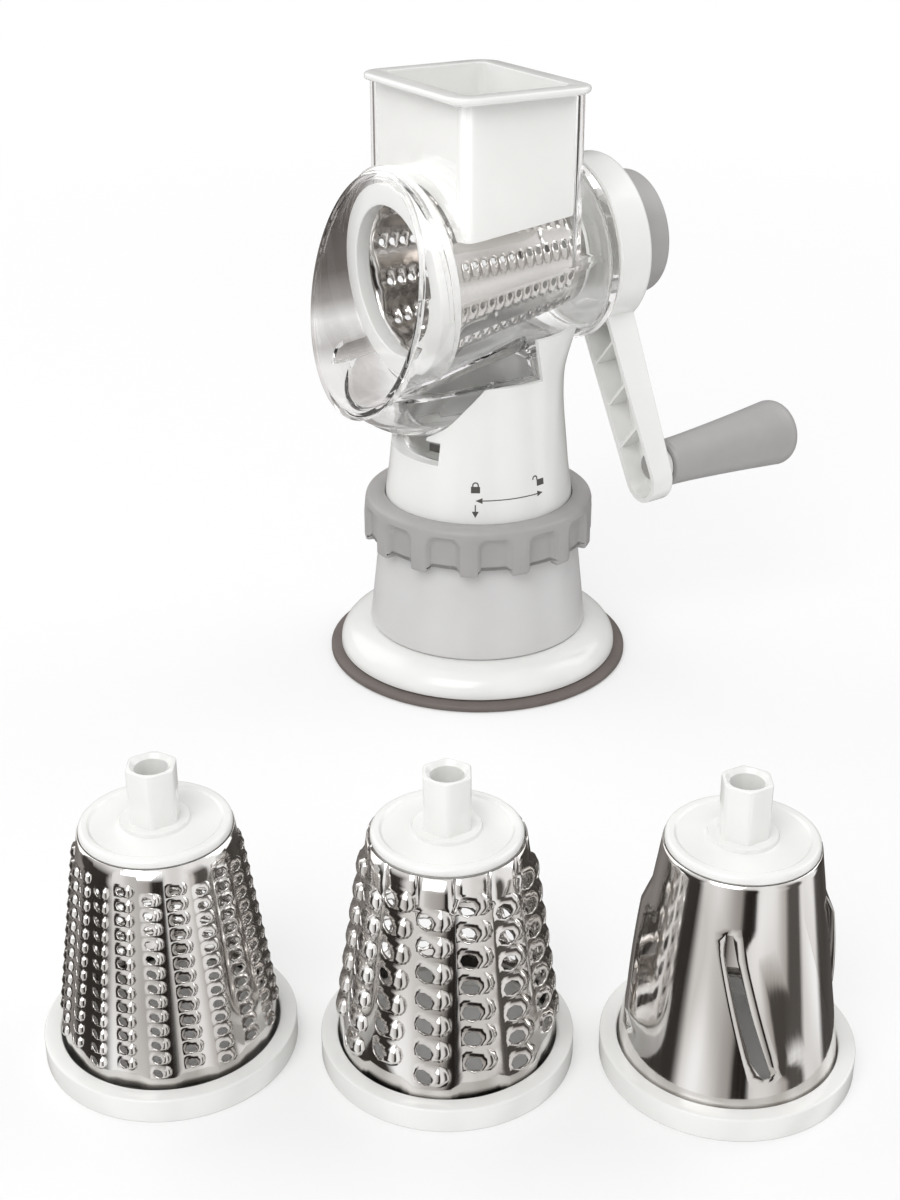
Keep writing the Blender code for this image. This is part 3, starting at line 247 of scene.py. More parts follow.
GRIP_BIG_R = 14.2
GRIP_ROUND = 7.0

# Clear plastic's painted reflections of dark surroundings, with painted shade on the mouth's left side:
# where they start and are full, in depth and across, and their tones up a range of height
PAINTED_REFLECTION_Y = (-31.0, -38.0)
PAINTED_REFLECTION_X = (10.0, -25.0)
PAINTED_REFLECTION_Z = (118.0, 213.0)
PAINTED_REFLECTION_TONES = ((0.0, "d5d2d0"), (0.13, "f0eeed"), (0.2, "bdbab8"), (0.3, "eae8e7"), (0.38, "a09c99"),
               (0.5, "6a6461"), (0.7, "5a5451"), (0.82, "6a6461"), (0.93, "a09c99"), (1.0, "ffffff"))
# Bounces after which light that is caught in the plastic goes straight on, and the share of the lamps' light
# that does so at once
PLASTIC_BOUNCES = 4.5
LAMPS_IN_PLASTIC = 0.85

# Studio: the plain white round the object, and what stands in for lamps that clear walls hold back
AMBIENT = 0.6
LAMPS_THROUGH_PLASTIC = 0.7
# Soft boxes and the dark gaps between them, round the turn from behind the object
BOXES = ((0.0, "8f8a87"), (0.1, "8f8a87"), (0.12, "3c3835"), (0.24, "3c3835"), (0.265, "ffffff"),
         (0.31, "ffffff"), (0.4, "b5b1ad"), (0.412, "2b2725"), (0.45, "2b2725"), (0.462, "ffffff"),
         (0.53, "ffffff"), (0.565, "c9c4c0"), (0.575, "5a5653"), (0.62, "5a5653"), (0.635, "ffffff"),
         (0.7, "ffffff"), (0.72, "4a4643"), (0.9, "5a5653"), (1.0, "8f8a87"))
# Bounces up to which a ray still shows what a mirror sent
MIRROR_BOUNCES = 5.5
# Lamps: name, place, aim, width in metres and power in watts
LAMPS = (("key_light", (0.9, -1.2, 1.5), (0.05, 0, 0.12), 1.2, 16),
         ("fill_light", (-1.3, -0.7, 1.1), (0, 0, 0.12), 1.4, 8),
         ("back_light", (0.2, 1.5, 1.3), (0, 0, 0.15), 1.2, 8))
FLOOR_R = 6.0
# Camera: place and aim in metres, and its lens
CAMERA_PLACE = (0.6056, -0.372, 0.3598)
CAMERA_AIM = (0.0081, -0.019, 0.0289)
CAMERA_LENS = 53.4


# Mesh helpers

def turned(profile, segments=ROUND):
    """Spin a closed outline of (radius, height) points round the Z axis."""
    bm = bmesh.new()
    verts = [bm.verts.new((r, 0, z)) for r, z in profile]
    pairs = list(zip(verts, verts[1:]))
    if profile[0][0] > 0 or profile[-1][0] > 0:
        pairs.append((verts[-1], verts[0]))
    edges = [bm.edges.new(pair) for pair in pairs]
    bmesh.ops.spin(bm, geom=verts + edges, cent=(0, 0, 0), axis=(0, 0, 1), angle=2 * math.pi,
                   steps=segments, use_merge=True)
    tidy(bm)
    return bm


def tidy(bm):
    """Merge doubled points and turn the faces outwards."""
    bmesh.ops.remove_doubles(bm, verts=bm.verts, dist=0.0005)
    bmesh.ops.recalc_face_normals(bm, faces=bm.faces)


def arc(centre, radius_x, radius_y, start, end, steps):
    """Points of an elliptic arc in an outline, angles in degrees."""
    points = []
    for k in range(steps + 1):
        a = math.radians(start + (end - start) * k / steps)
        points.append((centre[0] + radius_x * math.cos(a), centre[1] + radius_y * math.sin(a)))
    return points


def smooth_curve(points, steps):
    """A smooth curve through a row of points."""
    ends = [points[0]] + list(points) + [points[-1]]
    curve = []
    for before, start, end, after in zip(ends, ends[1:], ends[2:], ends[3:]):
        for k in range(steps):
            t = k / steps
            curve.append(tuple(0.5 * (2 * b + (c - a) * t + (2 * a - 5 * b + 4 * c - d) * t ** 2 +
                                      (3 * b - a - 3 * c + d) * t ** 3)
                               for a, b, c, d in zip(before, start, end, after)))
    curve.append(tuple(points[-1]))
    return curve


def height_at(curve, z):
    """The first value of a curve of (value, height) points at a height."""
    for (low, z0), (high, z1) in zip(curve, curve[1:]):
        if z <= z1:
            return low + (high - low) * (z - z0) / (z1 - z0)
    return curve[-1][0]


def sharp_edges(bm, angle=30):
    """Edges that turn by more than an angle."""
    return [e for e in bm.edges if len(e.link_faces) == 2 and e.calc_face_angle() > math.radians(angle)]


def rim_edges(bm, z):
    """Sharp edges of a mesh's top rim, at a height."""
    return [e for e in sharp_edges(bm, 60) if min(v.co.z for v in e.verts) > z - 0.1]


def upright_edges(bm, least):
    """Edges that rise by at least a height."""
    return [e for e in bm.edges if abs(e.verts[0].co.z - e.verts[1].co.z) > least]


def soften(bm, width, edges=None, segments=3):
    """Round sharp edges."""
    chosen = sharp_edges(bm) if edges is None else edges
    bmesh.ops.bevel(bm, geom=chosen, offset=width, offset_type="OFFSET", segments=segments, profile=0.5,
                    affect="EDGES", clamp_overlap=True, material=-1)
    return bm


def rounded_box(half_x, half_y, low, high, corner, centre_y=0.0):
    """A box with rounded upright edges."""
    bm = bmesh.new()
    bmesh.ops.create_cube(bm, size=1)
    bmesh.ops.scale(bm, vec=(2 * half_x, 2 * half_y, high - low), verts=bm.verts)
    bmesh.ops.translate(bm, vec=(0, centre_y, (low + high) / 2), verts=bm.verts)
    return soften(bm, corner, upright_edges(bm, (high - low) / 2), 8)


def extruded(points, depth):
    """A closed outline of 3-D points, pulled along a vector."""
    bm = bmesh.new()
    face = bm.faces.new([bm.verts.new(p) for p in points])
    grown = bmesh.ops.extrude_face_region(bm, geom=[face])
    moved = [v for v in grown["geom"] if isinstance(v, bmesh.types.BMVert)]
    bmesh.ops.translate(bm, verts=moved, vec=depth)
    tidy(bm)
    return bm


def lofted(sections):
    """Bridge a row of closed sections and cap both ends."""
    bm = bmesh.new()
    loops = []
    for section in sections:
        verts = [bm.verts.new(p) for p in section]
        loops.append([bm.edges.new((verts[i - 1], verts[i])) for i in range(len(verts))])
    for low, high in zip(loops, loops[1:]):
        bmesh.ops.bridge_loops(bm, edges=low + high)
    bmesh.ops.holes_fill(bm, edges=loops[0] + loops[-1], sides=0)
    tidy(bm)
    return bm


def placed(bm, matrix):
    """Move a mesh to its place."""
    bmesh.ops.transform(bm, matrix=matrix, verts=bm.verts)
    return bm


def mesh_object(name, bm):
    """Put a mesh in a new object."""
    mesh = bpy.data.meshes.new(name)
    bm.to_mesh(mesh)
    bm.free()
    obj = bpy.data.objects.new(name, mesh)
    bpy.context.scene.collection.objects.link(obj)
    return obj


def combined(bm, *steps):
    """Add to a mesh, or cut from it, in steps of (operation, tool)."""
    helpers = [mesh_object("helper", bm)]
    for operation, tool in steps:
        helpers.append(mesh_object("helper", tool))
        mod = helpers[0].modifiers.new(operation, "BOOLEAN")
        mod.operation = operation
        mod.solver = "EXACT"
        mod.object = helpers[-1]
    result = bmesh.new()
    result.from_object(helpers[0], bpy.context.evaluated_depsgraph_get())
    for obj in helpers:
        bpy.data.objects.remove(obj)
    tidy(result)
    return result


def new_piece(name, bm, body, finish, replaces=(), sharp=30):
    """Turn a mesh in millimetres into a finished piece that rides on a body."""
    bmesh.ops.scale(bm, vec=(MM, MM, MM), verts=bm.verts)
    obj = mesh_object(name, bm)
    obj.data.shade_smooth()
    obj.data.set_sharp_from_angle(angle=math.radians(sharp))
    obj.data.materials.append(finish)
    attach(obj, body)
    if replaces:
        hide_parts(*replaces)
    return obj


# Material helpers

def colour(hex_colour):
    """An sRGB hex value as a linear colour."""
    values = [int(hex_colour[i:i + 2], 16) / 255 for i in (0, 2, 4)]
    return tuple(c / 12.92 if c <= 0.04045 else ((c + 0.055) / 1.055) ** 2.4 for c in values) + (1.0,)


def add_node(tree, kind, sockets=None, **settings):
    """Add a node with a value or a link for each of its sockets, and its settings."""
    node = tree.nodes.new("ShaderNode" + kind)
    for key, value in settings.items():
        setattr(node, key, value)
    for key, value in (sockets or {}).items():
        if isinstance(value, bpy.types.NodeSocket):
            tree.links.new(value, node.inputs[key])
        else:
            node.inputs[key].default_value = value
    return node


def new_finish(name, **constants):
    """A material whose Principled shader holds its constants on its own sockets."""
    material = bpy.data.materials.new(name)
    material.use_nodes = True
    shader = material.node_tree.nodes["Principled BSDF"]
    for key, value in constants.items():
        shader.inputs[key.replace("_", " ")].default_value = value
    return material, material.node_tree, shader


def set_stops(ramp, stops):
    """Give a colour ramp a stop for each (position, hex colour)."""
    for element, (position, tone) in zip(ramp.elements, (stops[0], stops[-1])):
        element.position = position
        element.color = colour(tone)
    for position, tone in stops[1:-1]:
        ramp.elements.new(position).color = colour(tone)


def link_surface(tree, shader, tone, shine, bump):
    """Let a finish's tone, gloss and bump reach its shader."""
    tree.links.new(tone, shader.inputs["Base Color"])
    tree.links.new(shine.outputs["Result"], shader.inputs["Roughness"])
    tree.links.new(bump.outputs["Normal"], shader.inputs["Normal"])


def mottle(tree, shader, light, dark, gloss, patch_mm, grain_mm, grain_deep_mm):
    """Slow patches of tone and gloss, and a fine grain, as a mould leaves them."""
    place = add_node(tree, "TexCoord").outputs["Object"]
    patches = add_node(tree, "TexNoise", {"Vector": place, "Scale": 1 / (patch_mm * MM), "Detail": 3.0})
    tone = add_node(tree, "Mix",
                    {"Factor": patches.outputs["Fac"], 6: colour(dark), 7: colour(light)}, data_type="RGBA")
    shine = add_node(tree, "MapRange",
                     {"Value": patches.outputs["Fac"], "From Min": 0.3, "From Max": 0.7,
                      "To Min": gloss[0], "To Max": gloss[1]})
    grain = add_node(tree, "TexNoise", {"Vector": place, "Scale": 1 / (grain_mm * MM), "Detail": 2.0})
    bump = add_node(tree, "Bump",
                    {"Height": grain.outputs["Fac"], "Distance": grain_deep_mm * MM, "Strength": 1.0})
    link_surface(tree, shader, tone.outputs[2], shine, bump)


def moulded_white_abs():
    """Injection moulded ABS from a polished mould: bright, glossy, with a barely seen orange peel."""
    material, tree, shader = new_finish("moulded_white_abs", IOR=1.53)
    mottle(tree, shader, "f2f2f0", "ededeb", (0.14, 0.22), 14, 2.2, 0.004)
    return material


def satin_light_grey_abs():
    """ABS from a fine blasted mould: light grey, partly as painted shade, with a soft sheen."""
    material, tree, shader = new_finish("satin_light_grey_abs", IOR=1.53)
    # The light grey tone, darker than the white mouldings, is partly painted shade.
    mottle(tree, shader, "d6d5d5", "cfcecd", (0.28, 0.36), 12, 0.8, 0.006)
    return material


def satin_grey_abs():
    """Mid grey ABS that hands touch: finely grained, with a wide dull highlight."""
    material, tree, shader = new_finish("satin_grey_abs", IOR=1.53)
    mottle(tree, shader, "adabaa", "a3a1a0", (0.36, 0.46), 9, 0.7, 0.012)
    return material


def moulded_rubber():
    """Soft taupe grey rubber: dull, with a faint bloom and a fine grain."""
    material, tree, shader = new_finish("moulded_rubber", IOR=1.5)
    mottle(tree, shader, "746b67", "625a56", (0.46, 0.62), 7, 0.6, 0.02)
    return material


def natural_nylon():
    """Turned and moulded nylon: milky white, waxy."""
    material, tree, shader = new_finish("natural_nylon", IOR=1.53)
    mottle(tree, shader, "ebebe6", "e0e0da", (0.34, 0.44), 6, 0.9, 0.008)
    return material


def bright_wire_steel():
    """Drawn and zinc plated steel of springs, pins and screws: fine lines across the light."""
    material, tree, shader = new_finish("bright_wire_steel", Metallic=1.0)
    mottle(tree, shader, "c9c8c6", "b3b2b0", (0.22, 0.36), 3, 0.4, 0.01)
    return material


def polished_stainless_sheet():
    """Rolled stainless sheet, polished along its grain: thin streaks run along the cone, and wide lighter
    and darker streaks in its colour are painted reflections.
    """
    material, tree, shader = new_finish("polished_stainless_sheet", Metallic=1.0)
    sheet = add_node(tree, "UVMap", uv_map="sheet").outputs["UV"]
    # The real polishing lines are finer than a pixel: they are drawn 0.9 mm apart so that they show.
    stretched = add_node(tree, "Mapping", {"Vector": sheet, "Scale": (1 / (0.9 * MM), 1 / (60 * MM), 1)})
    lines = add_node(tree, "TexNoise", {"Vector": stretched.outputs["Vector"], "Scale": 1.0, "Detail": 4.0})
    # Wide lighter and darker streaks of colour along the cone are painted reflections of dark surroundings.
    painted_streak_mapping = add_node(tree, "Mapping", {"Vector": sheet, "Scale": (1 / (11 * MM), 1 / (90 * MM), 1)})
    painted_reflection_bands = add_node(tree, "TexNoise", {"Vector": painted_streak_mapping.outputs["Vector"], "Scale": 1.0, "Detail": 1.0})
    share = add_node(tree, "MapRange", {"Value": painted_reflection_bands.outputs["Fac"], "From Min": 0.36, "From Max": 0.62})
    tone = add_node(tree, "Mix",
                    {"Factor": share.outputs["Result"], 6: colour("c6c2be"), 7: colour("efedeb")},
                    data_type="RGBA")
    shine = add_node(tree, "MapRange",
                     {"Value": lines.outputs["Fac"], "From Min": 0.3, "From Max": 0.7,
                      "To Min": 0.05, "To Max": 0.14})
    bump = add_node(tree, "Bump", {"Height": lines.outputs["Fac"], "Distance": 0.005 * MM, "Strength": 1.0})
    link_surface(tree, shader, tone.outputs[2], shine, bump)
    return material


def clear_san():
    """Moulded styrene acrylonitrile: clear, with slow waves, and grey stripes of painted reflection and
    painted shade where the mouth flares, strongest on its left side.
    """
    material, tree, shader = new_finish("clear_san", Transmission_Weight=1.0, IOR=1.57)
    output = tree.nodes["Material Output"]
    place = add_node(tree, "TexCoord").outputs["Object"]
    waves = add_node(tree, "TexNoise", {"Vector": place, "Scale": 1 / (16 * MM), "Detail": 1.0})
    shine = add_node(tree, "MapRange", {"Value": waves.outputs["Fac"], "To Min": 0.01, "To Max": 0.05})
    bump = add_node(tree, "Bump", {"Height": waves.outputs["Fac"], "Distance": 0.06 * MM, "Strength": 1.0})
    # The grey stripes in the mouth's base colour are painted reflections of dark surroundings, with painted
    # shade towards its left side.
    axes = add_node(tree, "SeparateXYZ", {0: place})
    painted_reflection_depth = add_node(tree, "MapRange",
                     {"Value": axes.outputs["Y"], "From Min": PAINTED_REFLECTION_Y[0] * MM, "From Max": PAINTED_REFLECTION_Y[1] * MM})
    side = add_node(tree, "MapRange",
                    {"Value": axes.outputs["X"], "From Min": PAINTED_REFLECTION_X[0] * MM, "From Max": PAINTED_REFLECTION_X[1] * MM,
                     "To Min": 0.12})
    share = add_node(tree, "Math",
                     {0: painted_reflection_depth.outputs["Result"], 1: side.outputs["Result"]}, operation="MULTIPLY")
    painted_reflection_height = add_node(tree, "MapRange",
                     {"Value": axes.outputs["Z"], "From Min": PAINTED_REFLECTION_Z[0] * MM, "From Max": PAINTED_REFLECTION_Z[1] * MM})
    painted_reflection_bands = add_node(tree, "ValToRGB", {"Fac": painted_reflection_height.outputs["Result"]})
    set_stops(painted_reflection_bands.color_ramp, PAINTED_REFLECTION_TONES)
    tone = add_node(tree, "Mix",
                    {"Factor": share.outputs[0], 6: (1, 1, 1, 1), 7: painted_reflection_bands.outputs["Color"]},
                    data_type="RGBA")
    link_surface(tree, shader, tone.outputs[2], shine, bump)
    # Light that is caught between the walls, and most of what the lamps send, passes straight on: otherwise
    # the pieces inside the plastic would be dark.
    rays = add_node(tree, "LightPath")
    trapped = add_node(tree, "Math",
                       {0: rays.outputs["Ray Depth"], 1: PLASTIC_BOUNCES}, operation="GREATER_THAN")
    lit = add_node(tree, "Math",
                   {0: rays.outputs["Is Shadow Ray"], 1: LAMPS_IN_PLASTIC}, operation="MULTIPLY")
    straight = add_node(tree, "Math", {0: trapped.outputs[0], 1: lit.outputs[0]}, operation="MAXIMUM")
    clear = add_node(tree, "BsdfTransparent")
    mix = add_node(tree, "MixShader",
                   {0: straight.outputs[0], 1: shader.outputs["BSDF"], 2: clear.outputs["BSDF"]})
    tree.links.new(mix.outputs["Shader"], output.inputs["Surface"])
    smoke = add_node(tree, "VolumeAbsorption", {"Color": colour("b9aeaa"), "Density": 6.0})
    tree.links.new(smoke.outputs["Volume"], output.inputs["Volume"])
    return material


def printed_grey_ink():
    """Pad printed ink: dark grey, matt, a little uneven."""
    material, tree, shader = new_finish("printed_grey_ink")
    mottle(tree, shader, "55524f", "4a4744", (0.5, 0.62), 2, 0.5, 0.004)
    return material


WHITE = moulded_white_abs()
LIGHT_GREY = satin_light_grey_abs()
GREY = satin_grey_abs()
RUBBER = moulded_rubber()
NYLON = natural_nylon()
WIRE = bright_wire_steel()
SHEET = polished_stainless_sheet()
CLEAR = clear_san()
INK = printed_grey_ink()


# Base

def suction_cup():
    """Flat rubber disc with a thin soft edge and a dished, ribbed underside."""
    ribs = []
    for radius in CUP_RIBS:
        ribs += [(radius - 1.2, 0.75), (radius - 0.6, 0.2), (radius + 0.6, 0.2), (radius + 1.2, 0.75)][::-1]
    profile = [(0, 1.2), (24, 1.2)] + ribs[::-1] + [
        (57, 0.3), (60, 0), (CUP_R - 0.8, 0), (CUP_R, 0.7), (CUP_R, CUP_T - 1.0), (CUP_R - 0.9, CUP_T - 0.2),
        (CUP_R - 3.2, CUP_T), (0, CUP_T)]
    new_piece("cup_moulding", turned(profile), "base", RUBBER, ["suction_cup"], 50)


def base_flange():
    """Glossy white flange: a low dome from its thin lip to the column's foot."""
    lip = FLANGE_LOW + FLANGE_LIP
    dome = arc((FOOT_R, lip), FLANGE_R - FOOT_R, FLANGE_TOP - lip, 0, 90, 20)
    inside = arc((FOOT_R - 1, FLANGE_LOW), FLANGE_R - FOOT_R - 1.5, FLANGE_TOP - FLANGE_WALL - FLANGE_LOW,
                 90, 0, 10)
    profile = [(FLANGE_R - 0.4, FLANGE_LOW), (FLANGE_R, FLANGE_LOW + 0.4)] + dome + [
        (FLANGE_HOLE_R, FLANGE_TOP), (FLANGE_HOLE_R, FLANGE_TOP - FLANGE_WALL)] + inside
    new_piece("flange_moulding", turned(profile), "base", WHITE, ["base_flange"])


def lower_column():
    """Light grey cone, with the guide tube in its middle and the cross pin's slot."""
    profile = [(FOOT_R - 0.5, FOOT_Z), (FOOT_R, FOOT_Z + 0.6), (DECK_R + 0.2, DECK_Z - 1.2),
               (DECK_R - 0.8, DECK_Z), (GUIDE_R, DECK_Z), (GUIDE_R, GUIDE_TOP), (GUIDE_BORE, GUIDE_TOP),
               (GUIDE_BORE, GUIDE_LOW), (GUIDE_R, GUIDE_LOW), (GUIDE_R, DECK_Z - 2),
               (DECK_R - SHELL, DECK_Z - 2), (FOOT_R - SHELL, FOOT_Z)]
    reach = GUIDE_R + 1
    slot = extruded([(-reach, -PIN_SLOT_HALF, PIN_SLOT_LOW), (reach, -PIN_SLOT_HALF, PIN_SLOT_LOW),
                     (reach, -PIN_SLOT_HALF, PIN_SLOT_HIGH), (-reach, -PIN_SLOT_HALF, PIN_SLOT_HIGH)],
                    (0, 2 * PIN_SLOT_HALF, 0))
    column = combined(turned(profile), ("DIFFERENCE", slot))
    new_piece("lower_column_shell", column, "base", LIGHT_GREY, ["lower_column"])


def scallop_share(azimuth, z):
    """How far a point of the ring's wall lies in a scallop: 0 on a ridge, 1 in the hollow."""
    pitch = 2 * math.pi / SCALLOPS
    offset = (azimuth - RIDGE_AZIMUTH) % pitch - pitch / 2
    across = abs(offset) * RING_R - (SCALLOP_W / 2 - SCALLOP_CORNER)
    up = z - (RING_SCALLOP_TOP - SCALLOP_CORNER)
    outside = math.hypot(max(across, 0), max(up, 0)) + min(max(across, up), 0) - SCALLOP_CORNER
    share = min(max(-outside / 2.2, 0), 1)
    return share * share * (3 - 2 * share)


def lock_ring():
    """Scalloped grey ring: smooth ridges, shallow hollows with round tops, and tabs below the ridges."""
    plate = RING_TOP - RING_TOP_T
    crown = smooth_curve([(RING_R - 4.5, RING_TOP), (RING_R - 1.8, RING_TOP - 0.9),
                          (RING_R - 0.7, RING_TOP - 3), (RING_R, RING_TOP - 9)], 6)
    foot_top = RING_TAB_Z + 1.2
    wall = [(RING_R, RING_TOP - 9 - (RING_TOP - 9 - foot_top) * k / 8) for k in range(1, 9)]
    foot = arc((RING_R - 1.2, foot_top), 1.2, 1.2, 0, -90, 4)[1:]
    inner = [(RING_HOLE_R, plate), (RING_HOLE_R, RING_TOP - 0.4), (RING_HOLE_R + 0.5, RING_TOP)]
    profile = inner + crown + wall + foot + [(RING_BORE, RING_TAB_Z), (RING_BORE, plate)]
    ring = turned(profile, SCALLOPS * 18)
    for v in ring.verts:
        radius = math.hypot(v.co.x, v.co.y)
        share = scallop_share(math.atan2(v.co.y, v.co.x), v.co.z)
        if radius > RING_BORE + 0.5:
            scale = (radius - SCALLOP_DEEP * share) / radius
            v.co.x *= scale
            v.co.y *= scale
        if radius > RING_BORE - 0.5 and v.co.z < foot_top + 0.1:
            v.co.z += (RING_SCALLOP_Z - RING_TAB_Z) * share
    new_piece("lock_ring_moulding", ring, "lock_ring", GREY, ["lock_ring"], 40)


# Upper column

def fin_front(z):
    """Front edge of the column's rear fin at a height."""
    return FIN_FRONT_Y - (z - SHOULDER_Z) * FIN_SLOPE


def chamber_radius(s):
    """Outer radius of the clear chamber at a distance along the axis."""
    share = (s - DRUM_RING_L) / (CHAMBER_REAR_S - DRUM_RING_L)
    return CHAMBER_FRONT_R + (CHAMBER_REAR_R - CHAMBER_FRONT_R) * min(share, 1.0)


def upper_column():
    """White column with the arched opening, the latch window and the saddle for the chamber."""
    outer = smooth_curve(COLUMN_STATIONS, 4)
    inner = [(r - COLUMN_WALL, z) for r, z in reversed(COLUMN_STATIONS) if z > LEDGE_TOP]
    ledge_wall = height_at(outer, LEDGE_TOP) - COLUMN_WALL
    floor_top = COLUMN_FLOOR_Z + COLUMN_FLOOR_T
    skirt = COLUMN_R - COLUMN_WALL
    profile = [(COLUMN_R, COLUMN_LOW)] + outer + inner + [
        (ledge_wall, LEDGE_TOP), (ledge_wall - LEDGE, LEDGE_TOP), (ledge_wall - LEDGE, LEDGE_TOP - 3),
        (ledge_wall - 0.5, LEDGE_TOP - 6), (skirt - 0.6, floor_top), (GUIDE_BORE, floor_top),
        (GUIDE_BORE, COLUMN_FLOOR_Z), (skirt, COLUMN_FLOOR_Z), (skirt, COLUMN_LOW)]

    wide = 60
    top = FIN_TOP + 5
    above = extruded([(-wide, fin_front(SHOULDER_Z), SHOULDER_Z), (-wide, -wide, SHOULDER_Z),
                      (-wide, -wide, top), (-wide, fin_front(top), top)], (2 * wide, 0, 0))
    half = [(WINDOW_HALF, WINDOW_LOW), (WINDOW_HALF, WINDOW_TOP), (ARCH[0][0], WINDOW_TOP)]
    half += smooth_curve(ARCH, 5)
    half.append((ARCH[-1][0] + 1, SHOULDER_Z + 2))
    outline = half + [(-x, z) for x, z in reversed(half)]
    opening = extruded([(x, -wide, z) for x, z in outline], (0, wide + ARCH_BACK_Y, 0))
    slack = 0.6
    far = CHAMBER_OUT_S + 20
    clearance = placed(turned([
        (0, -20), (chamber_radius(MOUTH_START_S) + slack, -20),
        (chamber_radius(DRUM_RING_L) + slack, DRUM_RING_L), (CHAMBER_REAR_R + slack, CHAMBER_REAR_S),
        (CHAMBER_REAR_R + slack, COLLAR_S - slack), (COLLAR_R + slack, COLLAR_S - slack),
        (COLLAR_R + slack, far), (0, far)]), AXIS)
    column = combined(turned(profile), ("DIFFERENCE", opening), ("DIFFERENCE", above),
                      ("DIFFERENCE", clearance))
    new_piece("upper_column_shell", column, "base", WHITE, ["upper_column"])


def shackle(centre_x, foot_y, radius, leg, free_left):
    """Outline of a padlock's bow: a half ring with one leg that may end free."""
    thick = 0.55
    short = leg * 0.45
    left_end = foot_y + leg - short if free_left else foot_y
    outer = arc((centre_x, foot_y + leg), radius, radius, 0, 180, 12)
    inner = arc((centre_x, foot_y + leg), radius - thick, radius - thick, 180, 0, 12)
    return ([(centre_x + radius, foot_y)] + outer + [(centre_x - radius, left_end),
            (centre_x - radius + thick, left_end)] + inner + [(centre_x + radius - thick, foot_y)])


def bar(x0, x1, y0, y1, steps=1):
    """Outlines of a straight bar in short lengths."""
    step = (x1 - x0) / steps
    return [[(x0 + step * k, y0), (x0 + step * (k + 1), y0), (x0 + step * (k + 1), y1), (x0 + step * k, y1)]
            for k in range(steps)]


def wrapped_print(name, shapes, azimuth):
    """Lay flat printed shapes on the column's surface. Their x runs round it and their y is the height."""
    outer = smooth_curve(COLUMN_STATIONS, 4)
    bm = bmesh.new()
    for outline in shapes:
        bm.faces.new([bm.verts.new((x, y, 0)) for x, y in outline])
    bmesh.ops.remove_doubles(bm, verts=bm.verts, dist=0.01)
    grown = bmesh.ops.extrude_face_region(bm, geom=bm.faces[:])
    for item in grown["geom"]:
        if isinstance(item, bmesh.types.BMVert):
            item.co.z = INK_THICK
    for v in bm.verts:
        radius = height_at(outer, v.co.y) + INK_GAP + v.co.z
        a = azimuth + v.co.x / COLUMN_R
        v.co = (radius * math.cos(a), radius * math.sin(a), v.co.y)
    bmesh.ops.recalc_face_normals(bm, faces=bm.faces)
    new_piece(name, bm, "base", INK, (), 60)


def lock_signs():
    """Generic signs over the ring: closed and open padlocks, the way to turn, and the mark to meet."""
    body = bar(-1.95, 1.95, 87.2, 89.9)[0]
    wrapped_print("closed_padlock_print", [body, shackle(0, 89.9, 1.45, 0.5, False)], CLOSED_AZIMUTH)
    wrapped_print("open_padlock_print", [body, shackle(-2.9, 89.9, 1.35, 0.7, True)], OPEN_AZIMUTH)
    span = (OPEN_AZIMUTH - CLOSED_AZIMUTH) * COLUMN_R
    head = 3.0
    line = bar(head - 0.4, span - head + 1.2, 83.8, 84.2, 12)
    left = [(0, 84), (head, 82.8), (head, 85.2)]
    right = [(span + 1.0, 84), (span + 1.0 - head, 85.2), (span + 1.0 - head, 82.8)]
    wrapped_print("turn_arrow_print", [left, right] + line, CLOSED_AZIMUTH)
    down = [(0, 76.9), (1.45, 79.5), (-1.45, 79.5)]
    wrapped_print("down_arrow_print", [down] + bar(-0.25, 0.25, 79.4, 82.3), CLOSED_AZIMUTH)


# Clear housing

def circle_section(radius, s):
    """A circle round the drum axis, in world coordinates."""
    turns = [2 * math.pi * k / ROUND for k in range(ROUND)]
    return [AXIS @ Vector((radius * math.cos(a), radius * math.sin(a), s)) for a in turns]


def mouth_section(share, grow, forward=0.0):
    """A section of the mouth between the chamber's front and its slanted oval rim."""
    start = circle_section(MOUTH_R + grow, MOUTH_START_S)
    points = []
    for k, low in enumerate(start):
        a = 2 * math.pi * k / ROUND
        along = -(RIM_HALF_LONG + grow) * math.sin(a)
        high = Vector(((RIM_HALF_X + grow) * math.cos(a), RIM_Y + along * math.sin(RIM_SLANT) - forward,
                       RIM_Z + along * math.cos(RIM_SLANT)))
        points.append(low.lerp(high, share))
    return points


def chin_sections(wall):
    """Level sections of the chin that fills the column's opening and swells to the mouth."""
    arch = smooth_curve(ARCH, 5)
    steps = ROUND // 4
    sections = []
    for front, z in smooth_curve([(front, z) for z, front in CHIN_FRONT], 3):
        half = height_at(arch, z) - CHIN_GAP - wall
        centre = front + wall + half
        section = [(half * math.cos(math.pi + math.pi * k / (2 * steps)),
                    centre + half * math.sin(math.pi + math.pi * k / (2 * steps)), z + wall)
                   for k in range(2 * steps + 1)]
        sections.append(section + [(half, CHIN_BACK_Y, z + wall), (-half, CHIN_BACK_Y, z + wall)])
    return sections


def block_section(z, shrink):
    """Level section of the clear block that sits on the column's shoulder."""
    half = BLOCK_HALF_X - shrink
    radius = BLOCK_CORNER - shrink
    side = [(half, fin_front(z) - BLOCK_GAP - shrink)]
    side += arc((half - radius, BLOCK_FRONT_Y + shrink + radius), radius, radius, 0, -90, 12)
    return [(x, y, z) for x, y in side] + [(-x, y, z) for x, y in reversed(side)]


